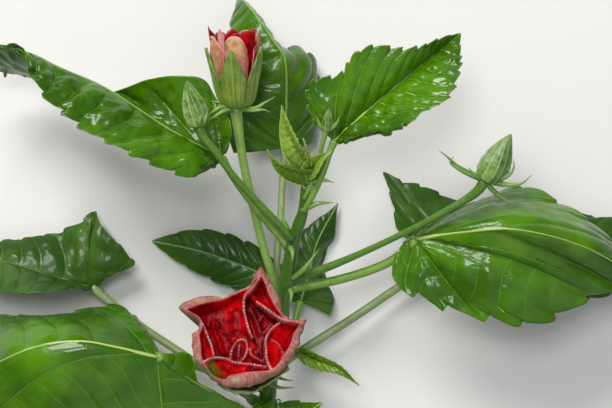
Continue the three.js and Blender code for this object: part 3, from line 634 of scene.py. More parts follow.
        tilts=[[0, 0, -10, -15, -20, -20], [-48, -50, -60, -98, -98, -98]], bulge=[0.06, 0.12], quilt=0.9,
    ),
    "back_right": dict(
        skin="shade", stalk_skin="pale_stalk",
        stalk=[
            [-14, -67, 16], [-2.5, -59, 14], [17.5, -46.5, 12],
            [37, -33.5, 10], [50, -25, 10], [56.3, -20.9, 11],
        ],
        radius=1.7,
        midrib=[[56, -21, 11], [77.5, -16.5, 16], [105.5, -14.5, 14], [139.5, -18.5, 2]],
        margins=[
            [
                (55.5, -20, 11, 0), (51.5, -18.5, 12, 0), (45.5, -17, 13, 0), (39.5, -13.5, 13, 0),
                (36, -9.5, 12, 0), (35.5, -4, 12, 0), (34.5, 1.5, 12, 0), (32.5, 8, 10, 0),
                (30.5, 13.5, 7, 0.01), (34, 11.5, 8, 0.02), (39, 8.5, 10, 0.03), (43.5, 8, 10, 0.04),
                (48, 7, 10, 0.05), (54, 4, 11, 0.07), (61, 0.5, 12, 0.1), (69, -1, 12, 0.14),
                (80, -0.5, 10, 0.22), (90, -0.5, 9, 0.32), (102.5, -2, 8, 0.44), (113.5, -5, 7, 0.57),
                (123.5, -5.5, 6, 0.7), (132, -9, 4, 0.84), (139.5, -18.5, 2, 1),
            ],
            [
                (57, -22, 11, 0), (58, -26.5, 11, 0), (62, -31.5, 11, 0), (70, -35, 11, 0.05),
                (80, -37, 11, 0.15), (90, -38, 10, 0.28), (102, -38.5, 9, 0.42),
                (112.5, -38.5, 8, 0.55), (120.5, -37, 7, 0.68), (129, -32, 5, 0.82),
                (135.5, -26, 3, 0.92), (139.5, -18.5, 2, 1),
            ],
        ],
        ribs=[[0.12, 0.29, 0.5], [0.11, 0.3]], bulge=[0.1, 0.06], tooth_depth=1.4, quilt=0.7,
    ),
    "bottom": dict(
        skin="bright", stalk_skin="green_stalk",
        stalk=[[-18.5, -97, 8], [-19.5, -97.5, 12], [-17.9, -95.9, 15.2]],
        radius=1.3,
        midrib=[[-18, -96, 15], [-9, -89, 21], [-1, -83.5, 21], [6.5, -79, 16]],
        widths=[13, 12], bases=[0.6, 0.6], lobes=[3, 3],
        tilts=[[-5, -5, -10], [-10, -15, -10]], quilt=0.6,
    ),
}
YOUNG_LEAF = dict(
    stalk_skin="green_stalk",
    stalk=[[-11, -54, 22], [-7, -56.5, 18], [-2.2, -58.6, 17.1]],
    radius=0.9,
    midrib=[[-2.5, -58.5, 17], [4.5, -61.5, 22], [13.5, -65, 26], [21, -71.5, 26]],
    widths=[3.5, 4], bases=[0.6, 0.6], tilts=[[50, 50, 50], [20, 20, 20]],
)
# The shoot's tip: two folded leaves that make a cup, then a tall folded one, a narrow one and one in the cup
TIP_LEAVES = {
    "shoot_tip_leaves": ("young", [
        dict(
            midrib=[[0.5, 6.5, 57], [-6, 8.5, 57.5], [-11.5, 13, 59], [-14.6, 20.5, 61]],
            widths=[7.5, 8.5], tilts=[[135, 128, 120], [20, 40, 50]],
        ),
        dict(
            midrib=[[-0.5, 6.5, 57], [4.5, 9, 58], [8, 13.5, 60], [9.4, 20, 62]],
            widths=[8, 7], tilts=[[30, 45, 55], [135, 128, 120]],
        ),
    ]),
    "inner_tip_leaves": ("pale", [
        dict(
            midrib=[[-3.5, 12, 60], [-8.4, 19, 64], [-9.7, 27.5, 66.5], [-9, 36.5, 68]],
            widths=[7.5, 8], tilts=[[140, 140, 120], [25, 30, 40]], taper=1.1,
        ),
        dict(
            midrib=[[1.4, 13.5, 61], [1.1, 17, 65], [0, 21, 67], [-1.1, 24.4, 68]],
            widths=[1.6, 1.6], tilts=[[55, 50], [55, 50]],
        ),
        dict(
            midrib=[[0.5, 11, 59], [3, 14.5, 62], [6, 17.5, 64], [9.5, 19.5, 65]],
            widths=[4.5, 4.5], tilts=[[40, 35], [50, 40]],
        ),
    ]),
}
PLAIN_LEAF = dict(
    thickness=0.34, rib=0.75, rib_lift=0.3, taper=1.5, lobes=[0, 0], follow=[1, 1], bulge=[0.07, 0.07],
    ribs=[[0.12, 0.3], [0.12, 0.3]], side_veins=[0.1, 0.22, 0.34, 0.46, 0.57, 0.67, 0.76, 0.84, 0.91],
    toothed=[[0.12, 1], [0.12, 1]], tooth_length=9.0, tooth_depth=3.2, inset=0.45,
    quilt=0.75, crinkle=0.15, cell=4.2, edge=0.5, grid=(160, 24),
)
SMALL_LEAF = {
    **PLAIN_LEAF, "rib": 0.45, "bases": [0.7, 0.7], "quilt": 0.4, "crinkle": 1.3, "cell": 2.0,
    "tooth_depth": 1.6, "tooth_length": 2.6, "edge": 0.1, "grid": (100, 20),
}
FULLNESS = 3.5
LEAST_WIDTH = 0.3
LOBE_REACH = 0.76
CORNER_SOFTNESS = 1.3
TOOTH_RISE = 0.84
VEIN_SWEEP = 0.018
MARGIN_WAVE = 0.5
MARGIN_COLUMNS = 6
BRANCH_SPACING = 9.0


def rule_width(share, base, taper):
    """Half width of a plain leaf along its midrib, as a share of its widest."""
    def outline(u):
        return (1 - u) ** taper * (base + FULLNESS * u)
    widest_at = (FULLNESS - taper * base) / (FULLNESS * (1 + taper))
    return outline(share) / outline(widest_at)


def margin_by_rule(leaf, curve, which):
    """Margin from widths, tilts and a basal lobe; its veins lean forward from the midrib."""
    u = np.linspace(0, 1, 90) ** 1.3
    along = curve.along(u)
    side, rise = across(along)
    outward = side if which == 0 else -side
    width = leaf["widths"][which] * rule_width(u, leaf["bases"][which], leaf["taper"])
    width = np.maximum(width, LEAST_WIDTH)
    tilt = np.radians(stops(leaf["tilts"][which], u))
    margin = curve.at(u) + (np.cos(tilt) * width)[:, None] * outward
    margin = margin + (np.sin(tilt) * width)[:, None] * rise
    margin = margin - (LOBE_REACH * leaf["lobes"][which] * (1 - u) ** 3)[:, None] * along
    return margin, np.clip((u - 0.28) / 0.72, 0, 1) ** 0.92


def even_margin(points, starts, rows):
    """Margin at even steps of its length, a little rounded at its corners."""
    steps = np.concatenate([[0], np.cumsum(np.linalg.norm(np.diff(points, axis=0), axis=1))])
    total = steps[-1]
    at = np.linspace(0, total, rows)
    line = np.stack([np.interp(at, steps, points[:, k]) for k in range(3)], -1)
    reach = max(1, int(3 * CORNER_SOFTNESS / (total / rows)))
    kernel = np.exp(-0.5 * (np.arange(-reach, reach + 1) * (total / rows) / CORNER_SOFTNESS) ** 2)
    kernel /= kernel.sum()
    ends = np.concatenate([np.repeat(line[:1], reach, 0), line, np.repeat(line[-1:], reach, 0)])
    line = np.stack([np.convolve(ends[:, k], kernel, "valid") for k in range(3)], -1)
    return line, np.interp(at, steps, starts), total


def saw(distance, total, length, first):
    """Forward-pointing teeth along a margin: 0 in a notch, 1 at a point."""
    count = max(2, round((total - first) / length))
    uneven = tooth_chance.uniform(-0.16, 0.16, count + 1)
    uneven[[0, -1]] = 0
    starts = first + (np.arange(count + 1) + uneven) * (total - first) / count
    index = np.clip(np.searchsorted(starts, distance, side="right") - 1, 0, count - 1)
    part = np.clip((distance - starts[index]) / (starts[index + 1] - starts[index]), 0, 1)
    rise = np.where(part < TOOTH_RISE, (part / TOOTH_RISE) ** 0.85, (1 - part) / (1 - TOOTH_RISE))
    return np.where(distance < first, 0.0, rise) * tooth_chance.uniform(0.7, 1.0, count)[index]


def mottle(x, y, size, count=48):
    """Smooth uneven relief from 0 to 1, in patches of about one size."""
    lattice = relief_chance.uniform(0, 1, (count, count))
    i = np.floor(x / size).astype(int)
    j = np.floor(y / size).astype(int)
    u = smooth(x / size - i)
    w = smooth(y / size - j)

    def corner(a, b):
        return lattice[(i + a) % count, (j + b) % count]
    near = (1 - u) * corner(0, 0) + u * corner(1, 0)
    far = (1 - u) * corner(0, 1) + u * corner(1, 1)
    return (1 - w) * near + w * far


def slide(sheet, read_at):
    """Grid read at other rows, given for each of its points."""
    s = np.linspace(0, 1, len(sheet))
    columns = range(sheet.shape[1])
    moved = [[np.interp(read_at[:, k], s, sheet[:, k, axis]) for axis in range(3)] for k in columns]
    return np.array(moved).transpose(2, 0, 1)


def sheet_normals(sheet, which):
    """Directions out of the upper face of the left half (0) or the right half (1) of a blade."""
    hand = 1 if which == 0 else -1
    cross = hand * np.cross(np.gradient(sheet, axis=0), np.gradient(sheet, axis=1))
    cross[:, 0] = cross[:, 1]
    return unit(cross)


def lay_sheet(leaf, curve, which, margin, start, v):
    """Grid from the midrib to the margin, which follows the midrib's arch and bulges between the two."""
    foot, end = curve.at(np.array([0.0, 1.0]))
    chord = end - foot
    forward = np.clip((margin - foot) @ chord / (chord @ chord), 0, 1)

    def arch(share):
        return curve.at(share) - foot - share[..., None] * chord
    out = v[None, :, None]
    follow = arch(start[:, None] + v * (forward - start)[:, None])
    follow = follow - (1 - out) * arch(start)[:, None] - out * arch(forward)[:, None]
    sheet = (1 - out) * curve.at(start)[:, None] + out * margin[:, None]
    sheet = sheet + leaf["follow"][which] * smooth(1.3 * forward)[:, None, None] * follow
    s = np.linspace(0, 1, len(margin))
    hump = 4 * v * (1 - v)
    sheet = slide(sheet, s[:, None] - VEIN_SWEEP * (4 * s * (1 - s))[:, None] * hump[None])
    reach = np.linalg.norm(margin - curve.at(start), axis=1)
    lift = (leaf["bulge"][which] * reach)[:, None] * hump[None]
    return sheet + lift[..., None] * sheet_normals(sheet, which)


def cut_teeth(leaf, which, outward, margin, distance, small):
    """Height of each row on its tooth, from notch to point, and how far the teeth move the margin."""
    total = distance[-1]
    ahead = unit(np.gradient(margin, axis=0))
    outward = unit(outward - (outward * ahead).sum(-1, keepdims=True) * ahead)
    first, last = (share * total for share in leaf["toothed"][which])
    tooth = saw(distance, total, leaf["tooth_length"], first)
    depth = leaf["tooth_depth"] * small * (1 - 0.85 * smooth((distance - last) / 5))
    shift = (tooth - leaf["inset"] * smooth((distance - first) / 6)) * depth
    return tooth, shift[:, None] * outward * 0.9 + (tooth * depth * 0.4)[:, None] * ahead


def draw_veins(leaf, which, start, reach, v, sheet):
    """Marks for the main veins, which fan out from the base, the side veins and the main ones' branches."""
    rows = len(start)
    s = np.linspace(0, 1, rows)
    ribs = leaf["ribs"][which]
    begun = np.interp(ribs[-1], s, start)
    ends = [np.interp(share, start, s) for share in leaf["side_veins"] if share > begun + 0.07]
    ends = np.array([*ribs, *[end for end in ends if end > ribs[-1] + 0.04]])
    ends = np.round(ends * (rows - 1)) / (rows - 1)
    order = range(1, len(ends) + 1)
    phase = np.interp(s, [0, *ends, 1], [0.3, *order, len(ends) + 0.6])
    apart = np.linalg.norm(np.gradient(sheet, axis=0), axis=-1)
    inner = np.interp(phase, [len(ribs), len(ribs) + 0.5], [0, 1])
    rib_reach = np.interp(np.minimum(np.ceil(phase), len(ribs)), order, np.interp(ends, s, reach))
    rib_reach = np.minimum(rib_reach, 1.5 * reach)
    lean = 0.5 + 0.5 * (phase % 1 + (phase % 1 == 0))
    from_rib = np.where(phase <= len(ribs), 1, 0) * smooth((phase % 1) / 0.35)
    return dict(
        veins=phase[:, None],
        spacing=apart / np.maximum(np.gradient(phase), 1e-5)[:, None],
        weight=(1 - 0.45 * inner)[:, None],
        branches=(rib_reach / BRANCH_SPACING * lean)[:, None] * v[None] + 0.15 * np.sin(5 * phase)[:, None],
        branched=from_rib[:, None] * smooth(v / 0.2)[None],
        branch_spacing=BRANCH_SPACING,
        from_midrib=v[None] * reach[:, None],
        outer=v[None],
        to_edge=(1 - v)[None] * reach[:, None],
    )


def relief(leaf, which, marks, sheet, v, distance, small, tooth):
    """Height of the pillows between the veins, with finer relief on them, and of the margin's waves."""
    s = distance / distance[-1]
    pillow = np.abs(np.sin(math.pi * marks["veins"])) ** 0.75
    puckers = np.abs(np.sin(math.pi * marks["branches"])) ** 0.75
    plan = sheet[..., 0] + 0.6 * sheet[..., 2], sheet[..., 1] - 0.6 * sheet[..., 2]
    cell = leaf["cell"]
    cells = 0.65 * mottle(*plan, cell) + 0.35 * mottle(*plan, 0.45 * cell)
    pillow = pillow * (1 - 0.5 * marks["branched"] * (1 - puckers)) + leaf["crinkle"] * (2 * cells - 1)
    fade = np.clip(marks["from_midrib"] / (0.9 * cell), 0, 1) * (1 - 0.6 * smooth((v - 0.8) / 0.2))[None]
    fade = fade * smooth((1 - s) / 0.1)[:, None] * np.clip(marks["spacing"] / (1.9 * cell), 0, 1.2)
    quilt = np.broadcast_to(leaf["quilt"], 2)[which]
    edge = leaf["edge"] * v[None] ** 8 * np.sin(tooth * 3.1)[:, None]
    wave = MARGIN_WAVE * np.sin(distance / 6.1 + 2 * which)[:, None] * v[None] ** 4
    return quilt * (pillow - 0.5) * fade + (wave + edge) * (small * smooth((1 - s) / 0.15))[:, None]


def add_half_blade(builder, leaf, curve, which):
    """Closed sheet for half of a blade. s runs along its margin, and v from the midrib out."""
    rows, columns = leaf["grid"]
    if "margins" in leaf:
        given = np.array(leaf["margins"][which], float)
        margin, start = given[:, :3], given[:, 3]
    else:
        margin, start = margin_by_rule(leaf, curve, which)
    margin, start, total = even_margin(margin, start, rows)
    distance = np.linspace(0, 1, rows) * total
    v = np.concatenate([
        np.linspace(0, 0.86, columns - MARGIN_COLUMNS), np.linspace(0.885, 1, MARGIN_COLUMNS),
    ])
    outward = margin - curve.at(start)
    reach = np.linalg.norm(outward, axis=1)
    small = np.clip(reach / 14, 0.2, 1)

    sheet = lay_sheet(leaf, curve, which, margin, start, v)
    tooth, moved = cut_teeth(leaf, which, outward, margin, distance, small)
    sheet = sheet + smooth((v - 0.82) / 0.18)[None, :, None] * moved[:, None]
    marks = draw_veins(leaf, which, start, reach, v, sheet)
    height = relief(leaf, which, marks, sheet, v, distance, small, tooth)

    normal = sheet_normals(sheet, which)
    faces = []
    for under in (0, 1):
        face = sheet + normal * (height + (0.5 - under) * leaf["thickness"])[..., None]
        face[..., 2] = np.maximum(face[..., 2], FLOOR_CLEARANCE + (1 - under) * leaf["thickness"])
        faces.append(face.reshape(-1, 3))
    marks = {key: np.tile(np.broadcast_to(value, (rows, columns)).ravel(), 2) for key, value in marks.items()}
    marks["under"] = np.repeat([0.0, 1.0], rows * columns)
    builder.add(np.concatenate(faces), sheet_faces(rows, columns, flip=which == 0), **marks)


def add_blade(builder, leaf):
    """Both halves of a blade, and the round midrib below them."""
    curve = Curve(leaf["midrib"])
    for which in (0, 1):
        add_half_blade(builder, leaf, curve, which)
    rib = leaf["rib"]
    line = curve.at(np.linspace(0, RIB_END, 24))
    line[:, 2] = np.maximum(line[:, 2] - rib + leaf["rib_lift"], FLOOR_CLEARANCE + 0.8 * rib)
    radii = [share * rib for share in RIB_TAPER]
    builder.tube(line, radii, sides=14, step=2.0, veins=0.5, spacing=8.0, to_edge=9.0)


def add_leaf_stalk(name, leaf, slot, node, **marks):
    """Round stalk that swells at its foot and below the blade."""
    def radius(share):
        return leaf["radius"] * (1 + 0.45 * bell(share, 0.05) + 0.22 * bell(share - 0.97, 0.045))
    builder = Builder(*STALK_MARKS)
    builder.tube(leaf["stalk"], radius, **marks)
    builder.piece(name, STALK_SKINS[leaf["stalk_skin"]], slot, node)


def add_leaf_blades(name, leaves, skin, slot, node):
    """One piece of one or more blades."""
    builder = Builder(*LEAF_MARKS)
    for leaf in leaves:
        add_blade(builder, leaf)
    builder.piece(name, LEAF_SKINS[skin], slot, node)


TIP_THICKNESS = 0.3
RIB_TAPER = [1, 0.85, 0.65, 0.42, 0.15]
RIB_END = 0.985
STALK_MARKS = ("place", "blush")
LEAF_MARKS = (
    "veins", "spacing", "weight", "branches", "branch_spacing", "branched", "from_midrib", "outer", "to_edge",
    "under",
)
for name, leaf in LEAVES.items():
    add_leaf_stalk(f"{name}_leaf_stalk", leaf, "leaf_stalk", f"leaf_stalk_{name}", blush=on_top)
    leaf = {**PLAIN_LEAF, **leaf}
    add_leaf_blades(f"{name}_leaf_blade", [leaf], leaf["skin"], "leaf_blade", f"leaf_{name}")
add_leaf_stalk("young_leaf_stalk", YOUNG_LEAF, "young_leaf", "leaf_young")
add_leaf_blades("young_leaf_blade", [{**SMALL_LEAF, **YOUNG_LEAF}], "young", "young_leaf", "leaf_young")
for name, (skin, leaves) in TIP_LEAVES.items():
    leaves = [{**SMALL_LEAF, "thickness": TIP_THICKNESS, **leaf} for leaf in leaves]
    add_leaf_blades(name, leaves, skin, "young_leaf", "shoot_tip")


# Stem, its stipules and the flower stalks

SEPAL_MARKS = ("height", "rib", "crease_shade")
STEM_PATH = [
    [-20.5, -111, 3.3], [-17.5, -91, 8], [-14, -68, 17], [-10.4, -47.5, 28],
    [-7.2, -28, 38.5], [-4.6, -13.5, 45], [-1.2, -3, 51], [-0.2, 7, 56.3],
]
STEM_RADII = [3.3, 3.2, 3.1, 3.0, 2.95, 2.8, 2.2, 1.7]
STEM_NODES = [0.13, 0.28, 0.36, 0.56, 0.68, 0.8, 0.88]
STIPULES = [
    [[-5.5, -13, 46], [-8.4, -6.5, 50], [-9.8, 0, 51]],
    [[-6.2, -16, 46], [-5.2, -18.5, 49.5], [-5.2, -22, 50]],
    [[-0.6, -2, 53], [4.5, 0.2, 55], [10.5, 0.5, 54]],
    [[-5.5, -29, 40.5], [-0.5, -24.5, 44.5], [5.2, -17, 46]],
    [[-6.8, -32, 37.5], [-5.6, -34.5, 41], [-6, -38.5, 42]],
    [[-9.4, -40, 33], [-12.5, -37, 36], [-13.4, -34, 37]],
    [[-14.6, -66, 19], [-11.5, -64, 22.5], [-9.5, -60, 23]],
    [[1, 8, 58.5], [6, 9, 60], [10.8, 8, 60]],
]
STIPULE_RADIUS = 0.85
FLOWER_STALKS = {
    "top": dict(
        skin="light_stalk",
        path=[
            [-10.1, -38, 33], [-13.8, -25.6, 35], [-16.3, -17.5, 36],
            [-21.4, 3.5, 38.5], [-24.6, 18.9, 41], [-27, 37, 44.3],
        ],
        radii=[1.8, 1.6, 1.6, 1.6, 1.6, 1.75, 2.3],
    ),
    "left": dict(
        skin="dark_stalk",
        path=[
            [-5, -13.5, 47], [-16.8, -1, 50], [-26.9, 10, 54],
            [-34, 19.5, 57], [-38.5, 25, 58], [-40.3, 29, 59.1],
        ],
        radii=[1.9, 1.5, 1.35, 1.35, 1.35, 1.5, 2.0],
    ),
    "right": dict(
        skin="dark_stalk",
        path=[
            [-6, -29, 38], [9, -24, 43], [28, -15.5, 50], [46.5, -6, 57],
            [59.5, 1.5, 61], [64.4, 5.4, 63.1], [66.4, 8.8, 64.1],
        ],
        radii=[2.2, 1.6, 1.3, 1.2, 1.2, 1.35, 2.1],
    ),
    "small": dict(
        skin="light_stalk",
        path=[[-1, 1.5, 55], [3, 10, 59], [5.4, 19.5, 62.5], [7.4, 27.3, 66.2]],
        radii=[0.9, 0.8, 0.8, 1.1],
    ),
    "bloom": dict(
        skin="dark_stalk",
        path=[[-16, -79.5, 13], [-21.5, -78.5, 15], [-24, -71.5, 20], [-24, -65, 29], [-23.5, -61.7, 35.3]],
        radii=[2.0, 1.8, 1.8, 2.2],
    ),
}


def stem_radius(share):
    """Taper of the stem, with a slight swelling at each place where leaves left it."""
    return stops(STEM_RADII, share) * (1 + sum(0.1 * bell(share - node, 0.018) for node in STEM_NODES))


def add_scale_leaves(name, paths, radius, slot, node):
    """Thin pointed stipules or bracts, widest below their middle."""
    def girth(share):
        return radius * (1 - share**1.5) ** 0.8 * (0.75 + 0.6 * np.sin(math.pi * share**0.7)) + 0.06
    builder = Builder(*SEPAL_MARKS)
    for path in paths:
        builder.tube(path, girth, sides=12, step=0.5, squash=0.42, height=along_it, rib=down_its_middle)
    builder.piece(name, SEPAL_SKINS["bract"], slot, node)


stem = Builder(*STALK_MARKS)
stem.tube(STEM_PATH, stem_radius, sides=32, step=0.9)
stem.piece("green_stem", STALK_SKINS["stem"], "green_stem", "main_stem")
add_scale_leaves("stipules", STIPULES, STIPULE_RADIUS, "green_stem", "main_stem")
for name, stalk in FLOWER_STALKS.items():
    builder = Builder(*STALK_MARKS)
    builder.tube(stalk["path"], stalk["radii"])
    builder.piece(f"{name}_flower_stalk", STALK_SKINS[stalk["skin"]], "green_stem", f"flower_stalk_{name}")


# Buds and flowers

def flower_frame(base, axis):
    """Places by their height along an axis, and how far they are to its left and its front."""
    along = unit(np.array(axis, float))
    side, rise = across(along)

    def at(height, left, forward):
        height, left, forward = np.broadcast_arrays(height, left, forward)
        return base + height[..., None] * along + left[..., None] * side + forward[..., None] * rise
    return at


def ring_points(at, height, radius, turn):
    """Points round an axis. Turns go from its left to its front."""
    return at(height, radius * np.cos(turn), radius * np.sin(turn)).reshape(-1, 3)


def over_grid(values, others):
    """A row or column of values, repeated for each of the others."""
    return values * np.ones_like(others)


def add_bracts(name, base, offsets, node, radius=0.8):
    base = np.array(base, float)
    offsets = [np.array(offset, float) for offset in offsets]
    add_scale_leaves(name, [[base + 0.12 * o[0], *(base + o)] for o in offsets], radius, "green_sepal", node)


SEPALS = 5
BUD_TWIST = 0.5
# Share of the height, and share of the radius
BUD_PROFILE = [
    [0, 0.3], [0.04, 0.72], [0.16, 0.93], [0.36, 1], [0.58, 0.82], [0.78, 0.5], [0.92, 0.24], [1, 0.05],
]
BUDS = {
    "left": dict(
        base=[-40.2, 28.6, 59], tip=[-44.5, 46.2, 61.5], radius=4.1,
        bracts=[
            [[-2, 2.5, 2.5], [-3.5, 5, 3]], [[2.2, 2.5, 3], [3.5, 6, 2.5]], [[0.5, 2, 4.5], [1.5, 5.5, 5]],
            [[1, 1, -4], [2.5, 5, -5]],
        ],
    ),
    "right": dict(
        base=[66.3, 8.4, 64], tip=[76, 25.8, 67.5], radius=5.3,
        bracts=[
            [[-9.5, 5.2, 1.5], [-13.6, 8.8, 3], [-17, 11.6, 2]],
            [[8.5, -1.2, 1], [14, -0.6, 2], [17.6, 2.6, 3]], [[7.5, 1.5, 2], [10.6, 4.4, 2], [10.8, 8.4, 3]],
            [[6, -5.4, -2], [12.5, -9.2, -4]], [[-4, 2.6, 4], [-6.4, 5.2, 5]],
            [[-12.2, 6.2, 3], [-11.6, 9.4, 4.5]],
        ],
    ),
    "small": dict(
        base=[7.5, 27, 66], tip=[8.6, 35.6, 70.5], radius=1.95,
        bracts=[[[3.5, 2.5, 2], [5, 5.5, 3]], [[-2.5, 2.5, 2], [-3.5, 5.5, 3]], [[0.5, 2.5, 3], [1, 6, 3.5]]],
    ),
}


def add_closed_bud(name, bud, node, rows=70, sides=120):
    """Bud of five sepals that meet edge to edge, a little twisted, each with a rib down its middle."""
    axis = np.array(bud["tip"], float) - np.array(bud["base"], float)
    tall = np.linalg.norm(axis)
    at = flower_frame(bud["base"], axis)
    share = np.linspace(0, 1, rows)[:, None]
    turn = full_circle(sides)[None, :]
    twist = SEPALS / 2 * (turn + BUD_TWIST * share**2)
    seam = np.abs(np.cos(twist))
    rib = bell(np.sin(twist), 0.13)
    fold = 0.2 * (1 - np.clip(seam / 0.45, 0, 1)) ** 1.4 - 0.13 * seam
    girth = np.interp(share, *np.array(BUD_PROFILE).T) * bud["radius"]
    radius = girth * (1.06 + fold * smooth(share / 0.2) + 0.03 * rib)
    marks = dict(
        height=over_grid(share, turn), rib=np.maximum(rib, 0.85 * bell(seam, 0.1)),
        # painted shade beside the seams between the sepals
        crease_shade=0.6 * bell(seam - 0.3, 0.13),
    )
    ends = dict(height=[0, 1], rib=[0, 0], crease_shade=[0, 0])
    builder = Builder(*SEPAL_MARKS)
    builder.add(
        np.vstack([ring_points(at, share * tall, radius, turn), at([0, tall * 1.01], 0, 0)]),
        [grid_faces(rows, sides, wrap=True), *end_fans(rows, sides)],
        **{key: np.append(value.ravel(), ends[key]) for key, value in marks.items()},
    )
    builder.piece(name, SEPAL_SKINS["bud"], "green_sepal", node)


for name, bud in BUDS.items():
    add_closed_bud(f"{name}_bud", bud, f"bud_{name}")
    add_bracts(f"{name}_bud_bracts", bud["base"], bud["bracts"], f"bud_{name}")


# The two flowers

# petals: height and radius of the wall that they make
# sepal: heights of the notches and tips of the calyx's rim, and the turn of one tip in degrees
TOP_BUD = dict(
    base=[-26.4, 36.3, 44.2], axis=[-0.03, 0.97, 0.2],
    petals=[[0.9, 1.8], [1.4, 3.5], [2.5, 4.7], [4.3, 5.6], [9, 6.8], [14, 7.7], [22, 9.2], [31, 10.1]],
    sepal=dict(notch=10, tip=24.6, centre=84),
    bracts=[
        [[-5.2, 0.8, 4.5], [-9.1, -1.2, 5], [-12.1, -4, 3]],
        [[-4.2, -0.6, 5], [-8.3, -3, 5.5], [-12.1, -5.6, 4]], [[-5.2, 2.2, 2], [-10.1, 3, 2]],
        [[6.9, 0.2, 4], [10.9, 2.4, 4.5], [14.9, 4.8, 3]],
        [[6.9, -0.6, 4], [10.3, -0.4, 4.5], [12.9, -1.4, 4]], [[3, 1.5, -6], [5, 5, -9.5]],
        [[-4, 1, -6], [-6.5, 2.5, -10]],
    ],
)
BLOOM = dict(
    base=[-23.5, -62, 34.7], axis=[0.03, 0.36, 0.932],
    petals=[[2.2, 2.4], [3.4, 4.6], [5, 6.2], [10, 8.8], [18, 11.7], [28, 15.2], [40, 18]],
    sepal=dict(notch=11, tip=25, centre=82),
    bracts=[
        [[8, -3.5, 1], [14.6, -5.7, 3], [18.6, -6.3, 3.5]], [[-7, -3, 0], [-12, -5.6, 3]],
        [[8, 2, 0], [13, 4, 4]], [[-1, 8, 0], [-2, 13, 4]], [[6, 6, 0], [9, 10, 3]],
        [[-7, 5, 0], [-11, 8, 3]], [[0, -7.5, 0], [0.5, -12.5, 3.5]],
        [[8, -6.5, 0], [13, -9, 2], [19.2, -9, 3]],
    ],
)
# The sepals' outer and inner face: the gap to the petals, the share of relief, and the curl of the rim
SEPAL_FACES = ((1.55, 1, 0.35), (0.85, 0, 0.21))


def wall_radius(flower, height):
    return np.interp(height, *np.array(flower["petals"]).T)


def sepal_rim(turn, notch, tip, centre):
    """Height of a calyx's rim, with five pointed sepals, and how far a turn is from a sepal's middle."""
    apart = np.abs((SEPALS * (turn - math.radians(centre)) / FULL_TURN + 0.5) % 1 - 0.5) * 2
    return notch + (tip - notch) * (1 - apart) ** 0.85, apart


def add_calyx(name, flower, radius_at, node, skin, rows=50, sides=160):
    """Cup of five sepals, with an outer face in relief and a plain inner one."""
    at = flower_frame(flower["base"], flower["axis"])
    turn = full_circle(sides)[None, :]
    level = (np.linspace(0, 1, rows) ** 0.9)[:, None]
    lowest = flower["petals"][0][0]
    top, apart = sepal_rim(turn, **flower["sepal"])
    height = lowest - 1 + (top - lowest + 1) * level
    rib = over_grid(np.clip(bell(apart, 0.09) + 0.6 * bell(apart - 0.45, 0.06), 0, 1), level)
    seam = over_grid(bell(1 - apart, 0.07), level)
    groove = over_grid(bell(apart - 0.2, 0.07), level)
    raised = 0.45 * rib - 0.3 * seam - 0.3 * groove
    wall = radius_at(np.maximum(height, lowest), over_grid(turn, level))
    faces = []
    for gap, raised_share, curl in SEPAL_FACES:
        radius = np.maximum(wall + gap + raised_share * raised, 0.5) * smooth((level + 0.05) / 0.12)
        faces.append(ring_points(at, height, radius + curl * level**6, turn))
    count = rows * sides
    last = count - sides + np.arange(sides)
    after = np.roll(last, -1)
    rim = np.stack([last, after, count + after, count + last], -1)
    # Painted shade at the seams between the sepals and low in the grooves.
    crease_shade = np.maximum(0.7 * seam, 0.5 * groove * (1 - level))
    marks = dict(height=over_grid(level, turn), rib=rib, crease_shade=crease_shade)
    builder = Builder(*SEPAL_MARKS)
    builder.add(
        np.concatenate(faces),
        [grid_faces(rows, sides, wrap=True), grid_faces(rows, sides, start=count, wrap=True, flip=True), rim],
        **{key: np.tile(value.ravel(), 2) for key, value in marks.items()},
    )
    builder.piece(name, skin, "green_sepal", node)


add_calyx(
    "top_bud_calyx", TOP_BUD, lambda height, turn: wall_radius(TOP_BUD, height), "bud_top_calyx",
    SEPAL_SKINS["calyx"],
)
add_bracts("top_bud_bracts", TOP_BUD["base"], TOP_BUD["bracts"], "bud_top_calyx", radius=0.75)


# The opening bud's petals

# Outer ones overlap round the bud, each with its own tip, and those with a rosy of 1 are red ones inside.
# turn, spread: degrees; tip: its height; point: how broad it is; lean: outward at the tip
# grow: beyond the wall; rosy, pale: shares of red and of pale pink, the pale pink being a painted highlight
BUD_PETALS = [
    dict(turn=32, spread=34, tip=29.0, point=1.8, lean=0.0, grow=1.1, rosy=0.0),
    dict(turn=90, spread=34, tip=29.0, point=2.6, lean=-0.2, grow=0.6, rosy=0.0),
    dict(turn=172, spread=26, tip=30.8, point=1.3, lean=0.2, grow=0.5, rosy=0.35),
    dict(turn=243, spread=44, tip=29.5, point=1.8, lean=0.0, grow=0.4, rosy=0.3),
    dict(turn=312, spread=40, tip=29.5, point=1.8, lean=0.0, grow=0.2, rosy=0.3),
    # This narrow red petal is painted pale pink along its length as a painted highlight.
    dict(turn=56, spread=12, tip=32.0, point=1.1, lean=0.3, grow=-0.1, rosy=0.5, pale=0.3),
    dict(turn=-2, spread=46, tip=32.4, point=0.9, lean=0.9, grow=-0.5, rosy=1.0),
    dict(turn=134, spread=38, tip=30.6, point=4.0, lean=0.0, grow=-0.5, rosy=1.0),
    dict(turn=205, spread=36, tip=30.6, point=1.4, lean=0.4, grow=-1.0, rosy=1.0),
    dict(turn=275, spread=44, tip=30.0, point=1.6, lean=0.0, grow=-1.2, rosy=1.0),
    dict(turn=350, spread=30, tip=29.5, point=1.6, lean=0.0, grow=-1.6, rosy=1.0),
    dict(turn=100, spread=44, tip=29.8, point=2.6, lean=-0.4, grow=-2.0, rosy=1.0),
]
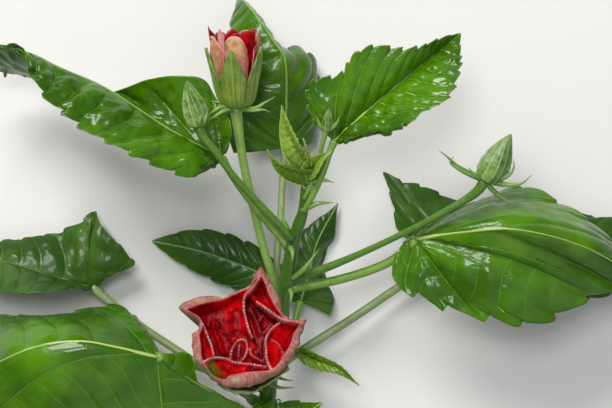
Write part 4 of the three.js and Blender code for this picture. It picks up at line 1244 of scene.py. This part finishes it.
# The deep mark paints shade into the petals' recesses and inner faces.
PETAL_MARKS = ("outside", "deep", "frill", "rosy", "leafy")
PETAL_FOOT = 1.5
PETAL_SHOULDER = 6.0
PETAL_THICKNESS = 0.35
CORE_RADIUS = 6.6
CORE_FOOT = 10
CORE_HEIGHT = 17.5


def add_bud_petal(builder, petal, at, rows=50, columns=34):
    level = np.linspace(0, 1, rows)[:, None]
    w = np.linspace(-1, 1, columns)[None, :]
    turn = np.radians(petal["turn"] + petal["spread"] * w)
    top = petal["tip"] - PETAL_SHOULDER * np.abs(w) ** petal["point"] * min(1, petal["spread"] / 26)
    height = PETAL_FOOT + (top - PETAL_FOOT) * level
    radius = wall_radius(TOP_BUD, height) + petal["grow"] + 0.55 * w * smooth(level * 2)
    radius = radius - 0.25 + petal["lean"] * 1.6 * smooth((level - 0.75) / 0.25)
    radius = radius - 0.9 * smooth((level - 0.8) / 0.2) + 0.16 * np.sin(w * 9 + level * 3) * level
    faces = [ring_points(at, height, radius - inset, turn) for inset in (0, PETAL_THICKNESS)]
    is_inside = petal["rosy"] == 1
    edge = np.maximum(bell(1 - np.abs(w), 0.05), bell(1 - level, 0.03))
    # Pale petal edges, partly a painted highlight.
    frill = np.maximum((0.06 if is_inside else 0.45) * edge, petal.get("pale", 0))
    rosy = petal["rosy"] + 1.1 * np.abs(w) ** 3 + 0.95 * (1 - smooth((level - 0.22) / 0.5))
    count = rows * columns
    builder.add(
        np.concatenate(faces), sheet_faces(rows, columns),
        # The inner faces get a little painted shade.
        outside=np.repeat([0.0 if is_inside else 1.0, 0.0], count), deep=np.repeat([0.0, 0.1], count),
        frill=np.tile(frill.ravel(), 2), rosy=np.tile(np.clip(rosy, 0, 1).ravel(), 2),
    )


def add_bud_core(builder, at, rows=50, sides=100):
    """Twisted red cone that fills the bud."""
    level = np.linspace(0, 1, rows)[:, None]
    turn = full_circle(sides)[None, :]
    twist = np.abs(np.sin(1.5 * (turn + 3.2 * level)))
    radius = CORE_RADIUS * np.maximum(1 - level**2.5, 0) ** 0.7 * (0.8 + 0.2 * twist**0.6)
    height = CORE_FOOT + CORE_HEIGHT * level - 1.2 * (1 - twist) * level
    builder.add(
        ring_points(at, height, radius, turn), [grid_faces(rows, sides, wrap=True)],
        # The core is darkened as painted shade; its pale lines along the twists are partly painted highlight.
        frill=0.35 * bell(twist, 0.16).ravel(), rosy=1.0, deep=0.25,
    )


at = flower_frame(TOP_BUD["base"], TOP_BUD["axis"])
petals = Builder(*PETAL_MARKS)
for petal in BUD_PETALS:
    add_bud_petal(petals, petal, at)
add_bud_core(petals, at)
petals.piece("top_bud_petals", BUD_PETAL_SKIN, "red_petal", "bud_top_petals")


# The bloom: a pleated outer wall that rolls in at its rim, and the folds inside it

# The rim, all round: how far out its bulge and its rolled-in edge are, to the left and forward
BLOOM_RIM = np.array([
    (25, -8, 22.5, -7.5), (23.5, -10.5, 21, -8.5), (20.5, -13, 18.5, -10), (16.5, -14.5, 15, -11.5),
    (12, -15, 12, -12.5), (9.5, -14.5, 9.5, -13.5), (6, -16.5, 6, -15.5), (2.5, -18.5, 2, -17.5),
    (0, -20, 0, -18.5), (-1.5, -23.5, -2, -21.5), (-3.5, -26.5, -3.5, -23), (-6, -23, -5.5, -20.5),
    (-9, -19.5, -7, -17), (-11.5, -15.5, -9.5, -13), (-13, -10.5, -12, -10), (-16, -8.5, -15.5, -7),
    (-19, -7.5, -18.5, -6.5), (-22, -8.5, -20, -6), (-20.5, -3, -18, -2.5), (-20, 1.5, -17, 2),
    (-18.5, 5, -15.5, 5.5), (-16, 9.5, -13.5, 9.5), (-13.5, 12.5, -11.5, 12), (-11, 14, -9.5, 13),
    (-7, 16, -6, 13.5), (-3, 18, -2.5, 14), (1, 19, 1, 15), (5, 19.5, 4.5, 16),
    (8, 18.5, 6, 17.5), (10.5, 17.5, 9, 17), (12.5, 15.5, 11.5, 15.5), (14, 13.5, 13, 13.5),
    (15.5, 12.5, 14.5, 12), (18, 10, 15.5, 9.5), (19, 6.5, 16, 6.5), (19.5, 3, 16.5, 4),
    (19.5, 0.5, 17, 1.5), (17.5, -1.5, 16.5, -1), (18, -4.5, 16.5, -3.5), (21.5, -6, 19.5, -6),
])
# Free edges of the petals, from the rim inward; each petal slopes off to the left and covers the next one
PETAL_EDGES = [
    [(22.5, -7), (20.5, -6.5), (18, -5.5), (15.5, -2.5), (13.5, 1.5), (12, 4.5), (11, 7.5)],
    [
        (-3.5, -23.5), (-2.5, -20.5), (-1, -18.5), (1.5, -15.5),
        (1.5, -11), (0.5, -7.5), (-1, -3.5), (-2.5, -0.5),
    ],
    [(-19.5, -6.5), (-17, -6.5), (-13.5, -7.5), (-10, -9.5), (-7, -11.5), (-3, -14)],
    [(-11, 13), (-9.5, 10.5), (-8.5, 8), (-8, 4.5), (-7.5, 1), (-8, -1.5), (-9.5, -4.5), (-12, -7)],
    [(14.5, 11.5), (12.5, 10), (10, 9), (6.5, 9), (3, 10), (0, 10), (-3.5, 10), (-8.5, 10.5)],
]
# Smaller folds: the line, its height, its width, and how much pale edge and painted highlight lie along its
# crest
FOLDS = [
    ([(5, 7), (4.5, 4), (2.5, 1), (0, 1), (-1, 3.5), (-0.5, 6.5), (1.5, 9)], 1.9, 0.75, 0.75),
    ([(2, 2), (2, 5), (2, 7.5)], 1.4, 0.6, 0.35),
    ([(-2, 3.5), (-3, 6), (-6.5, 7.5), (-8.5, 7.5)], 1.5, 0.7, 0.5),
    ([(0, -13), (-2.5, -9.5), (-4.5, -5.5), (-5.5, -2.5)], 1.9, 1.0, 0.12),
    ([(-9, -7.5), (-7.5, -5), (-6, -3)], 1.5, 0.8, 0.3),
    ([(-5.5, -10.5), (-4.5, -8)], 1.0, 0.6, 0.2),
    ([(12.5, -7), (12, -3), (10.5, 0), (8.5, 4.5), (7, 6.5)], 1.7, 1.1, 0.0),
    ([(11, -6), (10, -3.5)], 0.9, 0.7, 0.0),
    ([(-10, 0), (-12.5, 1.5), (-14.5, 5), (-14, 7.5)], 1.3, 0.8, 0.3),
    ([(-11.5, 3), (-12.5, 5), (-12.5, 8)], 0.8, 0.6, 0.0),
    ([(-3.5, 11.5), (-6.5, 11), (-9, 12)], 1.0, 0.8, 0.1),
    ([(6, 12.5), (2, 13), (-2, 12)], 0.8, 0.9, 0.0),
    ([(5.5, -10.5), (5, -6.5), (4, -2.5)], 0.6, 1.6, 0.0),
]
BLOOM_CENTRE = np.array([1.7, -0.1])
BLOOM_FOOT = 2.2
BULGE_AT = 35.5
EDGE_AT = 38.0
DEEPEST = -9.0
BEAD_LENGTH = 0.9
PLEATS = 21
PLEAT_DEPTH = 0.014
PUFF = 3.4
PUFF_HEIGHT = 13
PUFF_SPREAD = 6.5
PUFF_TURN = 1.35
GREEN_TURN = 0.98
WALL_ROWS = 44
ROLL_ROWS = 10
INSIDE_ROWS = 130
TURNS = np.linspace(-math.pi, math.pi, 400, endpoint=False)
FACING = np.stack([np.cos(TURNS), np.sin(TURNS)], -1)


def reach_of(points):
    """Reach from the centre, at each turn, of a smooth closed line through points."""
    looped = np.vstack([points[-3:], points, points[:4]])
    line = Curve(np.c_[looped, np.zeros(len(looped))], 6000).points[:, :2] - BLOOM_CENTRE
    angle = np.arctan2(line[:, 1], line[:, 0])
    order = np.argsort(angle)
    return np.interp(TURNS, angle[order], np.hypot(line[:, 0], line[:, 1])[order], period=FULL_TURN)


bulge_reach = reach_of(BLOOM_RIM[:, :2])
edge_reach = reach_of(BLOOM_RIM[:, 2:])
rim_rise = 0.28 * (bulge_reach - bulge_reach.mean()) + 0.5 * np.sin(TURNS * 3 + 1)


def bloom_wall(height, turn):
    """Radius of the outer wall: round at the foot, and with the rim's outline at the top."""
    level = np.clip(height / BULGE_AT, 0, 1.04) ** 2.2
    rim = np.interp(turn, TURNS, bulge_reach, period=FULL_TURN)
    return wall_radius(BLOOM, height) * (1 - level) + rim * level


def beading(along):
    """Uneven small beads along a petal's edge, from 0 to 1."""
    beads = FULL_TURN * along / BEAD_LENGTH + 1.1 * np.sin(1.7 * along) + 0.6 * np.sin(4.3 * along)
    return (0.5 + 0.5 * np.sin(beads)) ** 1.5 * (0.72 + 0.28 * np.sin(0.9 * along + 1))


def near_line(places, points):
    """Distance to a line, the side of it, the share along it, and the beads on the line there."""
    line = Curve(np.c_[np.array(points, float), np.zeros(len(points))], 90).points[:, :2]
    gap = places[:, None, :] - line[None]
    squared = (gap**2).sum(-1)
    nearest = squared.argmin(1)
    each = np.arange(len(places))
    out = gap[each, nearest]
    ahead = np.gradient(line, axis=0)[nearest]
    side = np.sign(ahead[:, 0] * out[:, 1] - ahead[:, 1] * out[:, 0])
    share = nearest / (len(line) - 1)
    length = np.linalg.norm(np.diff(np.array(points), axis=0), axis=1).sum()
    return np.sqrt(squared[each, nearest]), side, share, beading(share * length)


def inner_folds(places):
    """Height against the rim's edge, and the petals' pale edges, partly a painted highlight, at places inside
    the bloom.
    """
    surface = np.full(len(places), DEEPEST)
    frill = np.zeros(len(places))
    for line in PETAL_EDGES:
        away, side, share, beads = near_line(places, line)
        crest = -0.1 - 3.6 * share**0.9
        gentle = crest - 0.34 * away - 0.6 * smooth((away - 0.5) / 1.2)
        steep = crest - 6.5 * smooth(away / 1.7)
        surface = np.maximum(surface, np.where(side < 0, gentle, steep))
        surface = surface + (0.35 + 0.35 * beads) * bell(away, 0.55)
        frill = np.maximum(frill, bell(away, 0.42) * (0.15 + 0.85 * beads))
    for line, tall, wide, frill_and_highlight_share in FOLDS:
        away, side, share, beads = near_line(places, line)
        ends = np.clip(np.minimum(share, 1 - share) / 0.12, 0, 1) ** 0.5
        surface = surface + tall * bell(away, wide) * ends
        frill = np.maximum(frill, frill_and_highlight_share * bell(away, 0.4) * (0.15 + 0.85 * beads))
    x, y = places.T
    crinkle = 0.1 * np.sin(x * 1.6 + 1.9 * np.sin(y * 0.6)) * np.sin(y * 0.8 + 0.6)
    crinkle = crinkle + 0.018 * np.sin(x * 4.1 - y * 1.3 + 2 * np.sin(y * 0.7))
    return np.minimum(surface + crinkle, 0.3), frill


def over_bloom(*parts):
    """One value for each point, from the values for the wall, the roll and the inside."""
    shapes = [(rows, len(TURNS)) for rows in (WALL_ROWS, ROLL_ROWS, INSIDE_ROWS)]
    return np.concatenate([np.broadcast_to(part, shape).ravel() for part, shape in zip(parts, shapes)])


at = flower_frame(BLOOM["base"], BLOOM["axis"])
level = (np.linspace(0, 1, WALL_ROWS) ** 0.8)[:, None]
wall_height = BLOOM_FOOT + (BULGE_AT - BLOOM_FOOT) * level + rim_rise * level**3
pleats = 1 + PLEAT_DEPTH * np.sin(TURNS * PLEATS + 2 * np.sin(TURNS * 4)) * level
wall_plan = (bloom_wall(wall_height, TURNS) * pleats)[..., None] * FACING
wall_plan = wall_plan + (level**2.2)[..., None] * BLOOM_CENTRE

roll = np.linspace(0, 1, ROLL_ROWS + 1)[1:, None]
roll_height = BULGE_AT + (EDGE_AT - BULGE_AT) * np.sin(roll * math.pi / 2) + rim_rise
roll_reach = bulge_reach + (edge_reach - bulge_reach) * (1 - np.cos(roll * math.pi / 2))
roll_reach = roll_reach + 0.16 * np.sin(TURNS * 47 + 3 * np.sin(TURNS * 7)) * np.sin(roll * math.pi)
roll_plan = roll_reach[..., None] * FACING + BLOOM_CENTRE

inward = np.linspace(0, 1, INSIDE_ROWS + 1)[1:, None] ** 0.9
inside_plan = (edge_reach * (1 - inward))[..., None] * FACING + BLOOM_CENTRE
from_rim = edge_reach * inward
surface, frill = (values.reshape(from_rim.shape) for values in inner_folds(inside_plan.reshape(-1, 2)))
surface = surface * smooth(from_rim / 1.6)
inside_height = EDGE_AT + surface + rim_rise * (1 - inward) ** 2

height = np.concatenate([wall_height, roll_height, inside_height])
plan = np.concatenate([wall_plan, roll_plan, inside_plan])
rim_line = edge_reach[:, None] * FACING
along_rim = np.cumsum(np.linalg.norm(np.diff(rim_line, axis=0, append=rim_line[:1]), axis=1))
streaks = mottle(along_rim[None], 0.5 * roll, 0.4, 400) * np.sin(roll * math.pi) ** 0.5
leafy = bell(TURNS - GREEN_TURN, 0.22)
petals = Builder(*PETAL_MARKS)
petals.add(
    at(height, plan[..., 0], plan[..., 1]).reshape(-1, 3), [grid_faces(*height.shape, wrap=True)],
    outside=over_bloom(1, 1, 0),
    rosy=over_bloom(0.8 * (1 - level), 0.75 - 0.75 * streaks, 0),
    # painted shade in the deep recesses between the folds
    deep=over_bloom(0, 0, 0.6 * smooth((-surface - 3.4) / 4.2)),
    # pale beaded edges and fold crests, partly painted highlight, and a painted highlight line along the rim
    frill=over_bloom(
        0.08 * bell(level - 1, 0.03), np.maximum(0.12 * bell(roll - 1, 0.2), 0.2 * streaks),
        np.maximum(frill, 0.1 * bell(from_rim, 0.3)),
    ),
    leafy=over_bloom(leafy * level, leafy, leafy * smooth((4.6 - from_rim) / 1.6)),
)
petals.piece("open_flower_petals", PETAL_SKIN, "red_petal", "bloom_petals", "bloom_heart")


def bloom_calyx_radius(height, turn):
    """Close to the petals, but puffed out in front."""
    puff = PUFF * bell(height - PUFF_HEIGHT, PUFF_SPREAD)
    return bloom_wall(height, turn) + puff * np.clip(np.cos(turn - PUFF_TURN), 0, 1) ** 1.5


# The open flower's calyx takes the paler copy of the calyx colours as painted light.
add_calyx("open_flower_calyx", BLOOM, bloom_calyx_radius, "bloom_calyx", SEPAL_SKINS["painted_light_calyx"])
add_bracts("open_flower_bracts", BLOOM["base"], BLOOM["bracts"], "bloom_calyx", radius=1.15)


# Camera, light and floor

# The scale is in millimetres to a pixel, at the height of the scale plane
IMAGE_WIDTH = 612
SCALE_MM = 0.38
SCALE_PLANE = 50.0
CAMERA_HEIGHT = 750.0
SENSOR_WIDTH = 36
FLOOR_REACH = 3
camera = bpy.data.cameras.new("camera")
camera.sensor_width = SENSOR_WIDTH
camera.lens = SENSOR_WIDTH * (CAMERA_HEIGHT - SCALE_PLANE) / (IMAGE_WIDTH * SCALE_MM)
camera.clip_start = 0.01
viewer = bpy.data.objects.new("camera", camera)
viewer.location = (np.array([0, 0, CAMERA_HEIGHT]) - BOX_CENTRE) / 1000
bpy.context.scene.collection.objects.link(viewer)
bpy.context.scene.camera = viewer


def area_light(name, place, size, power, colour):
    lamp = bpy.data.lights.new(name, "AREA")
    lamp.size = size
    lamp.energy = power
    lamp.color = colour
    holder = bpy.data.objects.new(name, lamp)
    holder.location = place
    holder.rotation_euler = Vector(place).to_track_quat("Z", "Y").to_euler()
    bpy.context.scene.collection.objects.link(holder)


area_light("key", (-0.35, 0.75, 0.85), 0.45, 12, (1.0, 0.985, 0.95))
area_light("fill", (0.6, -0.8, 0.9), 2.0, 6, (0.95, 0.97, 1.0))
area_light("top", (-0.12, 0.25, 1.3), 0.3, 5.5, (1.0, 1.0, 1.0))
world = bpy.data.worlds.new("studio")
world.use_nodes = True
sky = world.node_tree.nodes["Background"]
sky.inputs["Color"].default_value = (0.95, 0.97, 1.0, 1)
sky.inputs["Strength"].default_value = 0.22
bpy.context.scene.world = world
bpy.context.scene.view_settings.view_transform = "Standard"

floor_mesh = bpy.data.meshes.new("floor")
corners = [(x * FLOOR_REACH, y * FLOOR_REACH, 0) for x, y in ((-1, -1), (1, -1), (1, 1), (-1, 1))]
floor_mesh.from_pydata(corners, [], [(0, 1, 2, 3)])
floor = bpy.data.objects.new("floor", floor_mesh)
bpy.context.scene.collection.objects.link(floor)
paint = Nodes("floor_paint")
paint.colour(paint.mix(paint.patches(3), (0.72, 0.72, 0.7), (0.75, 0.75, 0.73)))
paint.rough(0.85)
floor_mesh.materials.append(paint.material)
